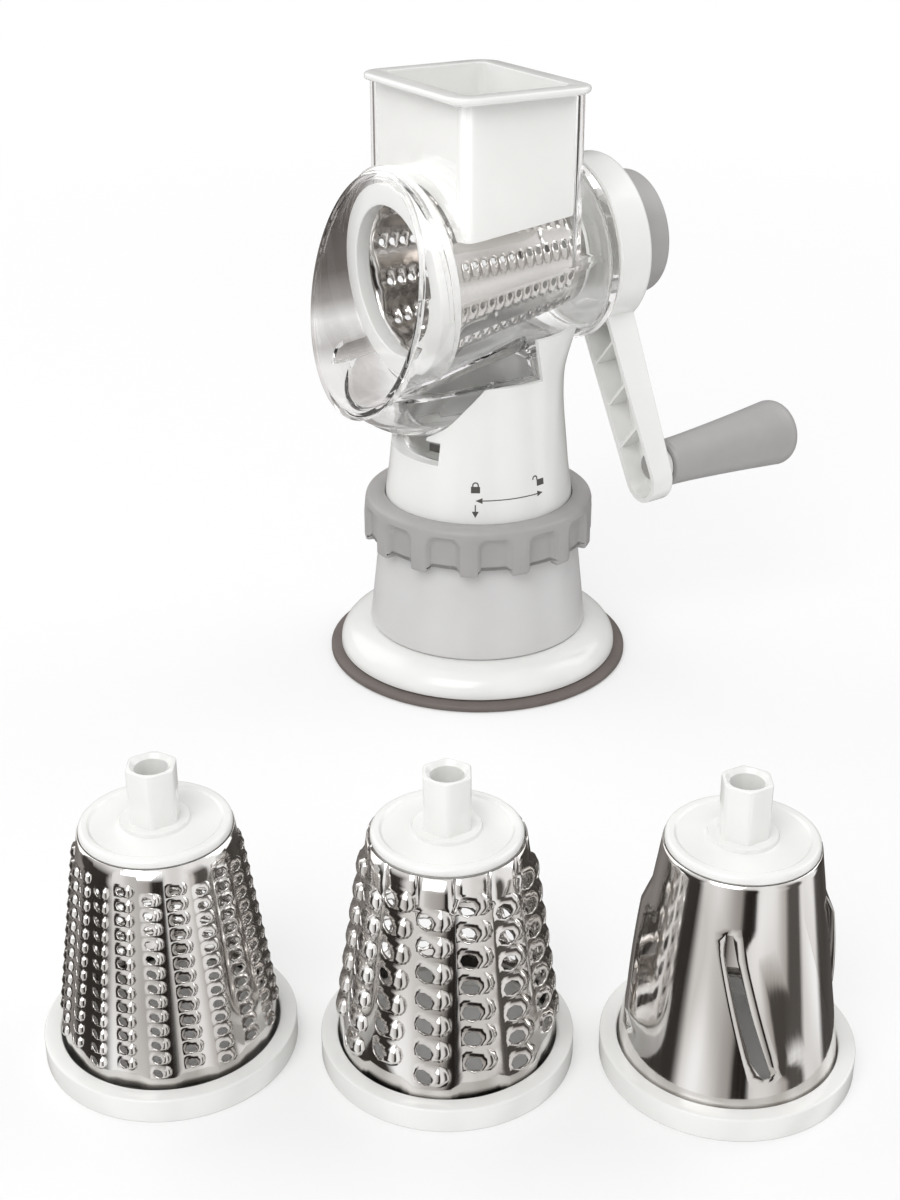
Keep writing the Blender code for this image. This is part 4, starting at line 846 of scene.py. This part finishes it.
def clear_housing():
    """One clear moulding: neck, chin, block, chamber, flared mouth and hopper."""
    neck = turned([(0, NECK_LOW), (NECK_R, NECK_LOW), (NECK_R, NECK_TOP), (0, NECK_TOP)])
    neck_in = NECK_R - NECK_WALL
    neck_hollow = turned([(0, NECK_LOW - 1), (neck_in, NECK_LOW - 1), (neck_in, NECK_TOP - 1),
                          (0, NECK_TOP - 1)])
    block_low = SHOULDER_Z + 0.3
    block = lofted([block_section(block_low, 0), block_section(BLOCK_TOP, 0)])
    block_hollow = lofted([block_section(block_low + CHIN_WALL, CHIN_WALL),
                           block_section(BLOCK_TOP - 1, CHIN_WALL)])

    outer = [(chamber_radius(s), s) for s in (MOUTH_START_S, DRUM_RING_L, CHAMBER_REAR_S, COLLAR_S)]
    collar = [(COLLAR_R, COLLAR_S)] + arc((COLLAR_R - 1, CHAMBER_OUT_S - 1), 1, 1, 0, 90, 4)
    chamber = placed(turned([(0, MOUTH_START_S)] + outer + collar + [(0, CHAMBER_OUT_S)]), AXIS)
    front_in = chamber_radius(MOUTH_START_S) - WALL
    hollow = placed(turned([(0, MOUTH_START_S - 1), (front_in, MOUTH_START_S - 1),
                            (chamber_radius(DRUM_RING_L) - WALL, DRUM_RING_L),
                            (CHAMBER_REAR_R - WALL, CHAMBER_REAR_S),
                            (CHAMBER_REAR_R - WALL, CHAMBER_END_S - 1),
                            (CHAMBER_REAR_R - WALL - 1, CHAMBER_END_S), (0, CHAMBER_END_S)]), AXIS)
    mouth = lofted([circle_section(MOUTH_R - 1, MOUTH_START_S + 2), mouth_section(0, 0),
                    mouth_section(0.35, -0.2), mouth_section(0.7, -0.2), mouth_section(0.92, 0),
                    mouth_section(0.97, 0.6), mouth_section(1, RIM_BEAD * 0.8),
                    mouth_section(1, RIM_BEAD, 0.3), mouth_section(1, RIM_BEAD * 0.8, 0.8),
                    mouth_section(1, 0.4, 1.0)])
    throat = lofted([circle_section(MOUTH_R - WALL, MOUTH_START_S + 1), mouth_section(0.5, -WALL),
                     mouth_section(0.97, -WALL), mouth_section(1, -WALL + 0.5, 0.8),
                     mouth_section(1, -WALL + 0.9, 5)])

    half_x = PUSHER_HALF_X + 0.4 + WALL
    half_y = PUSHER_HALF_Y + 0.4 + WALL
    low = DRUM_FRONT.z + 4
    hopper = rounded_box(half_x, half_y, low, HOPPER_TOP, HOPPER_CORNER, PUSHER_Y)
    soften(hopper, 0.6, rim_edges(hopper, HOPPER_TOP))
    hopper_hollow = rounded_box(half_x - WALL, half_y - WALL, low + 2, HOPPER_TOP + 2, HOPPER_CORNER - 1,
                                PUSHER_Y)
    bore = placed(turned([(0, CHAMBER_END_S - 2), (BUSH_R + 0.3, CHAMBER_END_S - 2),
                          (BUSH_R + 0.3, CHAMBER_OUT_S + 1), (0, CHAMBER_OUT_S + 1)], SMALL_ROUND), AXIS)
    chin = lofted(chin_sections(0))
    chin_hollow = lofted(chin_sections(CHIN_WALL))
    housing = combined(neck, ("UNION", chin), ("UNION", block), ("DIFFERENCE", neck_hollow),
                       ("DIFFERENCE", chin_hollow), ("DIFFERENCE", block_hollow), ("UNION", chamber),
                       ("UNION", mouth), ("UNION", hopper), ("DIFFERENCE", hollow), ("DIFFERENCE", throat),
                       ("DIFFERENCE", hopper_hollow), ("DIFFERENCE", bore))
    new_piece("clear_housing_moulding", housing, "housing", CLEAR, ["grater_housing"], 35)


def latch():
    """Small latch tab on the neck, which shows in the upper corner of the column's window; its dark ink
    colour is painted shade of the hole there.
    """
    tab = rounded_box(2.8, 0.2, WINDOW_TOP - 5.6, WINDOW_TOP - 2.5, 0.15)
    across = WINDOW_HALF - 6
    azimuth = math.atan2(-math.sqrt(NECK_R ** 2 - across ** 2), across)
    place = Matrix.Rotation(azimuth + math.pi / 2, 4, "Z") @ Matrix.Translation((0, -NECK_R - 0.4, 0))
    new_piece("latch_tab_painted_shade", placed(tab, place), "housing", INK)


def bearing_bush():
    """Nylon bush in the housing's rear wall, and the steel ring that keeps the crank in it."""
    end = CHAMBER_OUT_S + 0.3
    bush = turned([(HUB_TUBE_R + 0.4, CHAMBER_END_S), (BUSH_R, CHAMBER_END_S), (BUSH_R, end),
                   (BUSH_FLANGE_R, end), (BUSH_FLANGE_R, end + 1.2), (HUB_TUBE_R + 0.4, end + 1.2)], 96)
    soften(bush, 0.25, segments=2)
    new_piece("bush_moulding", placed(bush, AXIS), "housing", NYLON, ["rear_bush"])
    ring = turned([(HUB_TUBE_R + 0.3, HUB_TUBE_START), (HUB_TUBE_R + 3, HUB_TUBE_START),
                   (HUB_TUBE_R + 3, CHAMBER_END_S - 0.3), (HUB_TUBE_R + 0.3, CHAMBER_END_S - 0.3)], 96)
    soften(ring, 0.2, segments=2)
    new_piece("retaining_ring_turned", placed(ring, AXIS), "crank", WIRE, ["retaining_ring"])


# Pusher

def cone_radius(s):
    """Outer radius of a drum's steel cone at a distance along the axis."""
    share = (s - DRUM_CONE_START) / (DRUM_CONE_END - DRUM_CONE_START)
    return DRUM_BIG_R + (DRUM_SMALL_R - DRUM_BIG_R) * share


def drum_room(gap):
    """The space round the drum that the pusher's underside keeps free."""
    start = DRUM_CONE_START - 2
    return placed(turned([(0, start), (cone_radius(start) + gap, start),
                          (cone_radius(DRUM_CONE_END) + gap, DRUM_CONE_END), (0, DRUM_CONE_END)]), AXIS)


def pusher():
    """Open white box with a wide soft flange; its underside is arched over the drum."""
    rise = 2 * PUSHER_HALF_Y * math.tan(PUSHER_SLOPE)
    box = rounded_box(PUSHER_HALF_X, PUSHER_HALF_Y, PUSHER_LOW, PUSHER_SEAT + 1, PUSHER_CORNER, PUSHER_Y)
    for v in box.verts:
        if v.co.z < PUSHER_LOW + 1:
            v.co.z += rise * (v.co.y - PUSHER_Y + PUSHER_HALF_Y) / (2 * PUSHER_HALF_Y)
    flange = rounded_box(PUSHER_HALF_X + FLANGE_OUT, PUSHER_HALF_Y + FLANGE_OUT, PUSHER_SEAT, PUSHER_TOP,
                         PUSHER_CORNER + FLANGE_OUT, PUSHER_Y)
    soften(flange, 1.2, segments=5)
    cavity = rounded_box(PUSHER_HALF_X - PUSHER_WALL, PUSHER_HALF_Y - PUSHER_WALL,
                         PUSHER_LOW + rise + PUSHER_WALL, PUSHER_TOP + 2, PUSHER_CORNER - 0.5, PUSHER_Y)
    cavity = combined(cavity, ("DIFFERENCE", drum_room(PUSHER_DRUM_GAP + PUSHER_WALL)))
    body = combined(box, ("UNION", flange), ("DIFFERENCE", cavity),
                    ("DIFFERENCE", drum_room(PUSHER_DRUM_GAP)))
    soften(body, 1.4, rim_edges(body, PUSHER_TOP), 5)
    new_piece("pusher_moulding", body, "pusher", WHITE, ["pusher"])


# Drums

def tooth_point(a, b, tooth):
    """Where a point of a tooth's cell lies: a round hole, a dome behind it and an oval foot round both."""
    wide, tall, hole, high = tooth
    dx = a - TOOTH_STEPS / 2
    dy = b - TOOTH_ROWS / 2
    hole_x = TOOTH_RIM + (hole - wide) / 2
    dome_x = (hole_x + hole / 2 + wide / 2 - TOOTH_RIM) / 2
    dome_r = wide / 2 - TOOTH_RIM - dome_x
    if abs(dx) == 3 or abs(dy) == 2:
        way = math.atan2(dy / 2, dx / 3)
        x, y = [math.copysign(abs(v) ** 0.8, v) for v in (math.cos(way), math.sin(way))]
        return wide / 2 * x, tall / 2 * y, 0.0
    if dx <= 0:
        way = math.atan2(dy, dx + 1)
        lift = (0.62 + 0.3 * math.cos(way)) * high
        return hole_x + hole / 2 * math.cos(way), hole / 2 * math.sin(way), lift
    if dx == 1:
        return dome_x, 0.38 * tall * dy, (1 - 0.3 * abs(dy)) * high
    return dome_x + dome_r * (1 - 0.25 * abs(dy)), 0.3 * tall * dy, (0.66 - 0.12 * abs(dy)) * high


def flat_sheet(nx, ny):
    """A square grid with a layer for the place of each point in the unrolled steel."""
    bm = bmesh.new()
    bmesh.ops.create_grid(bm, x_segments=nx, y_segments=ny, size=0.5)
    return bm, bm.loops.layers.uv.new("sheet")


def cut_sheet(bm, uv, holes):
    """Note where each point lies in the unrolled steel, at its middle radius, and cut the holes."""
    for face in bm.faces:
        for loop in face.loops:
            loop[uv].uv = (loop.vert.co.x * 2 * math.pi * DRUM_MEAN_R * MM, loop.vert.co.y * MM)
    bmesh.ops.delete(bm, geom=holes, context="FACES")
    return bm


def toothed_sheet(columns, rows, tooth):
    """An unrolled drum sheet: x is the turn round the drum, y runs along it and z is the height."""
    plain_low = DRUM_RING_L + 3
    plain_high = DRUM_CONE_END - 4.5
    pitch = (plain_high - plain_low) / (rows + 0.5)
    cell = tooth[0] + 2 * TOOTH_RIM
    per_column = TOOTH_STEPS + 2
    nx = columns * per_column
    ny = rows * TOOTH_ROWS + 2
    bm, uv = flat_sheet(nx, ny)
    holes = []
    for face in bm.faces:
        middle = face.calc_center_median()
        a = int((middle.x + 0.5) * nx) % per_column
        b = int((middle.y + 0.5) * ny) - 1
        if a in (2, 3) and 0 <= b < ny - 2 and b % TOOTH_ROWS in (2, 3):
            holes.append(face)
    for v in bm.verts:
        column, a = divmod(round((v.co.x + 0.5) * nx), per_column)
        j = round((v.co.y + 0.5) * ny)
        row, b = divmod(j - 1, TOOTH_ROWS)
        shift = pitch / 2 if column % 2 else 0.0
        s = min(plain_low + pitch * (j - 1) / TOOTH_ROWS + shift, plain_high)
        x = cell * (a / TOOTH_STEPS - 0.5)
        lift = 0.0
        if 0 < a < TOOTH_STEPS and 0 < b < TOOTH_ROWS and 0 < j < ny:
            x, y, lift = tooth_point(a, b, tooth)
            s = plain_low + pitch * (row + 0.5) + shift + y
        if j == 0 or j == ny:
            s = DRUM_SHEET_S if j == 0 else DRUM_CONE_END
        turn = column + 0.5 + x * columns / (2 * math.pi * cone_radius(s))
        if a > TOOTH_STEPS:
            turn = column + 1
            s = s if j in (0, ny) else min(plain_low + pitch * (j - 1) / TOOTH_ROWS + pitch / 4, plain_high)
        v.co = (turn / columns, s, lift)
    return cut_sheet(bm, uv, holes)


def slotted_sheet():
    """An unrolled slicing sheet: long slots, each with its cutting edge raised beside it."""
    across = 14
    nx = SLOTS * across
    ny = 34
    low_row = 6
    high_row = 27
    bm, uv = flat_sheet(nx, ny)
    gaps = []
    for face in bm.faces:
        middle = face.calc_center_median()
        i = int((middle.x + 0.5) * nx) % across
        j = int((middle.y + 0.5) * ny)
        if i == 5 and low_row <= j < high_row:
            gaps.append(face)
    for v in bm.verts:
        i = round((v.co.x + 0.5) * nx)
        j = round((v.co.y + 0.5) * ny)
        a = i % across
        s = DRUM_SHEET_S + (DRUM_CONE_END - DRUM_SHEET_S) * j / ny
        span = min(max((j - low_row) / 3, 0), 1) * min(max((high_row - j) / 3, 0), 1)
        lift = {6: 2.0, 7: 1.7, 8: 0.9}.get(a, 0.0) * span
        turn = i / nx
        if a == 5:
            turn += (0.25 - 0.55 * span) / nx
        v.co = (turn + SLOT_LEAN * (1 - j / ny), s, lift)
    return cut_sheet(bm, uv, gaps)


def rolled(sheet):
    """Roll an unrolled sheet into the drum's cone and join its seam."""
    for v in sheet.verts:
        a = 2 * math.pi * v.co.x
        radius = cone_radius(max(v.co.y, DRUM_CONE_START)) + v.co.z
        v.co = (radius * math.cos(a), radius * math.sin(a), v.co.y)
    tidy(sheet)
    return sheet


def rim_ring():
    """White ring at the drum's wide end, with a groove for the steel between its rim and its skirt."""
    inner = DRUM_BIG_R - 3
    groove = DRUM_RING_L - DRUM_RING_SEAT
    skirt_r = cone_radius(DRUM_SKIRT_S) - DRUM_SHEET_T - 0.2
    ring = turned([(inner, 0), (DRUM_RING_R, 0), (DRUM_RING_R, DRUM_RING_L),
                   (DRUM_BIG_R + 0.3, DRUM_RING_L), (DRUM_BIG_R + 0.3, groove), (skirt_r, groove),
                   (skirt_r, DRUM_SKIRT_S), (inner, DRUM_SKIRT_S)])
    return soften(ring, 0.7, segments=4)


def drum_hub():
    """White disc in the drum's narrow end, with a hollow six sided shaft on a low collar."""
    seat_r = DRUM_SMALL_R - DRUM_SHEET_T - 0.3
    top = DRUM_HUB_S + DRUM_HUB_T
    rim = arc((DRUM_DISC_R - 1.3, top - 1.3), 1.3, 1.3, 0, 90, 5)
    foot = [(0, DRUM_DISC_S), (seat_r, DRUM_DISC_S), (seat_r, DRUM_HUB_S), (DRUM_DISC_R, DRUM_HUB_S)]
    face = [(DRUM_DISC_R - 2.6, top), (DRUM_DISC_R - 3.4, top - 0.5), (12, top - 0.5), (10.4, top),
            (10.0, top + 1.0), (0, top + 1.0)]
    disc = turned(foot + rim + face)
    shaft = bmesh.new()
    bmesh.ops.create_cone(shaft, cap_ends=True, segments=6, radius1=DRUM_SHAFT_R, radius2=DRUM_SHAFT_R,
                          depth=DRUM_SHAFT_END - top + 1)
    bmesh.ops.translate(shaft, vec=(0, 0, (DRUM_SHAFT_END + top - 1) / 2), verts=shaft.verts)
    soften(shaft, 1.1, upright_edges(shaft, 1), 4)
    bore = turned([(0, DRUM_DISC_S - 1), (DRUM_SHAFT_BORE, DRUM_DISC_S - 1),
                   (DRUM_SHAFT_BORE, DRUM_SHAFT_END - 1.2), (DRUM_SHAFT_BORE + 1.2, DRUM_SHAFT_END),
                   (DRUM_SHAFT_BORE + 1.2, DRUM_SHAFT_END + 1), (0, DRUM_SHAFT_END + 1)], SMALL_ROUND)
    hub = combined(disc, ("UNION", shaft), ("DIFFERENCE", bore))
    return soften(hub, 0.5, rim_edges(hub, DRUM_SHAFT_END))


def drum(prefix, place, sheet):
    """One whole drum on its own body: toothed steel, rim ring and hub."""
    shell = new_piece(prefix + "_sheet", placed(rolled(sheet), place), prefix, SHEET,
                      [prefix + "_shell"], 60)
    wall = shell.modifiers.new("sheet_thickness", "SOLIDIFY")
    wall.thickness = DRUM_SHEET_EDGE * MM
    wall.offset = -1
    new_piece(prefix + "_ring_moulding", placed(rim_ring(), place), prefix, WHITE,
              [prefix + "_rim_ring"])
    new_piece(prefix + "_hub_moulding", placed(drum_hub(), place), prefix, WHITE,
              [prefix + "_hub"])


def drums():
    """The drum in the machine and the three that stand beside it."""
    drum("drum", AXIS, toothed_sheet(*MACHINE_TEETH))
    sheets = {"fine_drum": toothed_sheet(*FINE_TEETH), "coarse_drum": toothed_sheet(*COARSE_TEETH),
              "slicer_drum": slotted_sheet()}
    for prefix, sheet in sheets.items():
        low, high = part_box(prefix + "_rim_ring")
        middle = (low + high) / 2 / MM
        drum(prefix, Matrix.Translation((middle.x, middle.y, 0)), sheet)


# Crank

def crank_outline(shrink, s_of):
    """Outline of the crank's arm at a depth, with its rounded end."""
    start = HUB_R - HUB_WALL / 2 - 1 + shrink
    radius = ARM_HALF_END - shrink
    tip = arc((CRANK_LENGTH + ARM_END_OUT, 0), radius, radius, 90, -90, 24)
    points = [(start, ARM_HALF_HUB - shrink)] + tip + [(start, -ARM_HALF_HUB + shrink)]
    return [(u, v, s_of(u)) for u, v in points]


def arm_back(u):
    """How deep the arm is at a distance from the axis."""
    share = (u - HUB_R) / (CRANK_LENGTH - HUB_R)
    return HUB_S + ARM_DEPTH_HUB + (ARM_DEPTH_END - ARM_DEPTH_HUB) * share


def crank():
    """White crank moulding: a round cap over the bearing, and a ribbed channel for an arm."""
    profile = [(HUB_R - 0.8, HUB_S), (HUB_R, HUB_S + 0.8)]
    profile += arc((HUB_R - HUB_ROUND, HUB_END_S - HUB_ROUND), HUB_ROUND, HUB_ROUND, 0, 90, 8)
    floor_top = HUB_FLOOR_S + HUB_WALL
    profile += [(KNOB_R + 0.9, HUB_END_S), (KNOB_R + 0.4, HUB_END_S - 0.5), (KNOB_R + 0.4, floor_top),
                (SOCKET_BORE, floor_top), (SOCKET_BORE, HUB_TUBE_START), (HUB_TUBE_R, HUB_TUBE_START),
                (HUB_TUBE_R, HUB_FLOOR_S), (HUB_R - HUB_WALL - 4, HUB_FLOOR_S),
                (HUB_R - HUB_WALL, HUB_FLOOR_S - 4), (HUB_R - HUB_WALL, HUB_S)]
    hub = turned(profile)
    arm = lofted([crank_outline(0, lambda u: HUB_S), crank_outline(0, arm_back)])
    back_edges = [e for e in sharp_edges(arm, 60) if min(v.co.z - arm_back(v.co.x) for v in e.verts) > -0.2]
    soften(arm, 1.4, back_edges, 4)
    channel = lofted([crank_outline(ARM_WALL, lambda u: HUB_S - 1),
                      crank_outline(ARM_WALL, lambda u: arm_back(u) - ARM_WALL)])
    steps = []
    for n in range(ARM_RIBS):
        u = HUB_R + (CRANK_LENGTH - HUB_R) * (n + 0.6) / (ARM_RIBS + 0.4)
        reach = ARM_HALF_HUB + 1
        lean = 4.0
        rib = extruded([(u - lean - 0.6, -reach, HUB_S + 1), (u - lean + 0.6, -reach, HUB_S + 1),
                        (u + lean + 0.6, reach, HUB_S + 1), (u + lean - 0.6, reach, HUB_S + 1)],
                       (0, 0, ARM_DEPTH_END + 4))
        steps.append(("DIFFERENCE", rib))
    channel = combined(channel, *steps)
    arm = combined(arm, ("DIFFERENCE", channel))
    pin_hole = turned([(0, HUB_S - 1), (GRIP_PIN_R + 0.3, HUB_S - 1), (GRIP_PIN_R + 0.3, HUB_END_S),
                       (0, HUB_END_S)], SMALL_ROUND)
    placed(pin_hole, Matrix.Translation((CRANK_LENGTH, 0, 0)))
    whole = combined(placed(hub, AXIS), ("UNION", placed(arm, ARM)), ("DIFFERENCE", placed(pin_hole, ARM)))
    new_piece("crank_moulding", whole, "crank", WHITE, ["crank_arm"])


def release_knob():
    """Grey push knob with a soft edge and a shallow dished face."""
    edge = arc((KNOB_R - 2.5, KNOB_END_S - 2.5), 2.5, 2.5, 0, 90, 8)
    face = smooth_curve([(KNOB_R - 4, KNOB_END_S), (KNOB_R - 6, KNOB_END_S - 0.8), (12, KNOB_END_S - 1.4),
                         (0, KNOB_END_S - 1.5)], 5)
    profile = [(KNOB_R - 0.6, KNOB_FRONT_S), (KNOB_R, KNOB_FRONT_S + 0.6)] + edge + face + [
        (0, KNOB_FRONT_S + 5), (KNOB_PEG_R, KNOB_FRONT_S + 5), (KNOB_PEG_R, KNOB_FRONT_S),
        (KNOB_SKIRT_IN, KNOB_FRONT_S), (KNOB_SKIRT_IN, KNOB_FRONT_S + 9.5),
        (KNOB_SKIRT_OUT, KNOB_FRONT_S + 9.5), (KNOB_SKIRT_OUT, KNOB_FRONT_S)]
    new_piece("knob_moulding", placed(turned(profile), AXIS), "release_knob", GREY,
              ["release_knob"])


def grip():
    """Grey tapered grip with a rounded end and a bore for its pin, and its white collar."""
    low = GRIP_S
    high = low + GRIP_L
    bore = GRIP_PIN_R + 0.4
    side = smooth_curve([(GRIP_SMALL_R, low + 1.2), (GRIP_SMALL_R + 0.5, low + 12),
                         (GRIP_SMALL_R + 2.2, low + 34), (GRIP_BIG_R, high - GRIP_ROUND)], 5)
    dome = arc((GRIP_BIG_R - GRIP_ROUND, high - GRIP_ROUND), GRIP_ROUND, GRIP_ROUND, 0, 90, 12)[1:]
    profile = [(bore, low), (GRIP_SMALL_R - 1.2, low)] + side + dome + [
        (0, high), (0, low + GRIP_BORE_L), (bore, low + GRIP_BORE_L)]
    new_piece("grip_moulding", placed(turned(profile), GRIP_AXIS), "grip", GREY, ["grip"])
    collar_end = GRIP_COLLAR_S + GRIP_COLLAR_L
    collar = turned([(GRIP_PIN_R + 0.3, GRIP_COLLAR_S), (GRIP_COLLAR_R, GRIP_COLLAR_S),
                     (GRIP_COLLAR_R, collar_end), (GRIP_PIN_R + 0.3, collar_end)], 64)
    soften(collar, 0.5)
    new_piece("grip_collar_turned", placed(collar, GRIP_AXIS), "crank", WHITE, ["grip_collar"])


# Pieces that keep their CAD shape

def dress_cad_nodes():
    """Give the hidden pieces that keep their CAD shape their real finish."""
    steel = ["stem_cross_pin", "knob_spring", "grip_pin"]
    steel += ["base_screw_%d" % n for n in range(1, 5)] + ["column_screw_%d" % n for n in range(1, 4)]
    for finish, names in ((NYLON, ["lift_stem", "ring_cam"]), (WIRE, steel)):
        for name in names:
            for material_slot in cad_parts[name].material_slots:
                material_slot.material = finish


def stem_spring():
    """The spring over the stem: a copy of its CAD coil, in a mesh of its own."""
    coil = bmesh.new()
    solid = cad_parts["stem_spring"]
    coil.from_mesh(solid.data)
    coil.transform(Matrix.Scale(1 / MM, 4) @ solid.matrix_world)
    bmesh.ops.remove_doubles(coil, verts=coil.verts, dist=0.001)
    piece = new_piece("stem_spring_coil", coil, "base", WIRE, ["stem_spring"], 40)
    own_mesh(piece)


# Studio

def mirror_share(tree, rays):
    """1 for a ray that a mirror sent, also through a clear wall, and 0 after more bounces in the plastic."""
    mirror = add_node(tree, "Math", {0: rays.outputs["Glossy Depth"], 1: 1.0}, operation="MINIMUM")
    near = add_node(tree, "Math", {0: rays.outputs["Ray Depth"], 1: MIRROR_BOUNCES}, operation="LESS_THAN")
    return add_node(tree, "Math", {0: mirror.outputs[0], 1: near.outputs[0]}, operation="MULTIPLY")


def studio_world():
    """White all round, where a mirror also sees the dark gaps between soft boxes."""
    world = bpy.data.worlds.new("white_studio")
    bpy.context.scene.world = world
    world.use_nodes = True
    tree = world.node_tree
    rays = add_node(tree, "LightPath")
    way = add_node(tree, "TexCoord").outputs["Generated"]
    turn = add_node(tree, "TexGradient", {"Vector": way}, gradient_type="RADIAL")
    boxes = add_node(tree, "ValToRGB", {"Fac": turn.outputs["Fac"]})
    set_stops(boxes.color_ramp, BOXES)
    height = add_node(tree, "SeparateXYZ", {0: way})
    open_top = add_node(tree, "MapRange", {"Value": height.outputs["Z"], "From Min": 0.35, "From Max": 0.75})
    gloss = add_node(tree, "Mix",
                     {"Factor": open_top.outputs["Result"], 6: boxes.outputs["Color"], 7: (1, 1, 1, 1)},
                     data_type="RGBA")
    mirrored = mirror_share(tree, rays)
    tint = add_node(tree, "Mix",
                    {"Factor": mirrored.outputs[0], 6: (1, 1, 1, 1), 7: gloss.outputs[2]}, data_type="RGBA")
    dimmed = add_node(tree, "MapRange",
                      {"Value": rays.outputs["Is Diffuse Ray"], "To Min": 1.0, "To Max": AMBIENT})
    scattered = add_node(tree, "Math", {0: rays.outputs["Diffuse Depth"], 1: 1.0}, operation="MINIMUM")
    inside = add_node(tree, "Math",
                      {0: rays.outputs["Is Transmission Ray"], 1: scattered.outputs[0]},
                      operation="MULTIPLY")
    strength = add_node(tree, "Math",
                        {0: inside.outputs[0], 1: LAMPS_THROUGH_PLASTIC, 2: dimmed.outputs["Result"]},
                        operation="MULTIPLY_ADD")
    background = tree.nodes["Background"]
    tree.links.new(tint.outputs[2], background.inputs["Color"])
    tree.links.new(strength.outputs[0], background.inputs["Strength"])


def studio_floor():
    """White paper floor that keeps the object's shadow, with a painted contact shadow, and fades into the
    white round it.
    """
    bm = bmesh.new()
    bmesh.ops.create_circle(bm, cap_ends=True, segments=64, radius=FLOOR_R)
    floor = mesh_object("studio_floor", bm)
    material, tree, shader = new_finish("white_paper", Base_Color=colour("f6f6f6"), Roughness=0.9)
    glow = add_node(tree, "Emission", {"Color": (1, 1, 1, 1), "Strength": 1.0})
    place = add_node(tree, "TexCoord").outputs["Object"]
    away = add_node(tree, "VectorMath", {0: place}, operation="LENGTH")
    fade = add_node(tree, "MapRange",
                    {"Value": away.outputs["Value"], "From Min": 0.3, "From Max": 1.2,
                     "To Min": 0.6, "To Max": 1.0}, interpolation_type="SMOOTHSTEP")
    # Ambient occlusion dims the glow near and under the pieces: a painted contact shadow.
    near = add_node(tree, "AmbientOcclusion", {"Distance": 0.1}, samples=8)
    share = add_node(tree, "Math", {0: fade.outputs["Result"], 1: near.outputs["AO"]}, operation="MULTIPLY")
    paper = add_node(tree, "MixShader",
                     {0: share.outputs[0], 1: shader.outputs["BSDF"], 2: glow.outputs["Emission"]})
    rays = add_node(tree, "LightPath")
    mirrored = mirror_share(tree, rays)
    clear = add_node(tree, "BsdfTransparent")
    mix = add_node(tree, "MixShader",
                   {0: mirrored.outputs[0], 1: paper.outputs["Shader"], 2: clear.outputs["BSDF"]})
    tree.links.new(mix.outputs["Shader"], tree.nodes["Material Output"].inputs["Surface"])
    floor.data.materials.append(material)


def aimed(name, data, place, aim):
    """A lamp or a camera that stands at a place and looks at a point."""
    obj = bpy.data.objects.new(name, data)
    obj.location = place
    obj.rotation_mode = "QUATERNION"
    obj.rotation_quaternion = (Vector(aim) - Vector(place)).to_track_quat("-Z", "Y")
    bpy.context.scene.collection.objects.link(obj)
    return obj


def soft_box(name, place, aim, width, power):
    """One square soft light."""
    light = bpy.data.lights.new(name, "AREA")
    light.size = width
    light.energy = power
    aimed(name, light, place, aim)


def studio_camera():
    """The photograph's viewpoint, zoomed out and turned a little so that the row of spare drums fits."""
    data = bpy.data.cameras.new("photo_camera")
    data.sensor_width = 36.0
    data.lens = CAMERA_LENS
    bpy.context.scene.camera = aimed("photo_camera", data, CAMERA_PLACE, CAMERA_AIM)


def main():
    """Build and dress every piece, then the studio."""
    suction_cup()
    base_flange()
    lower_column()
    lock_ring()
    upper_column()
    lock_signs()
    clear_housing()
    latch()
    bearing_bush()
    pusher()
    drums()
    crank()
    release_knob()
    grip()
    dress_cad_nodes()
    stem_spring()
    studio_world()
    studio_floor()
    for lamp in LAMPS:
        soft_box(*lamp)
    studio_camera()
    bpy.context.scene.view_settings.view_transform = "Standard"


main()
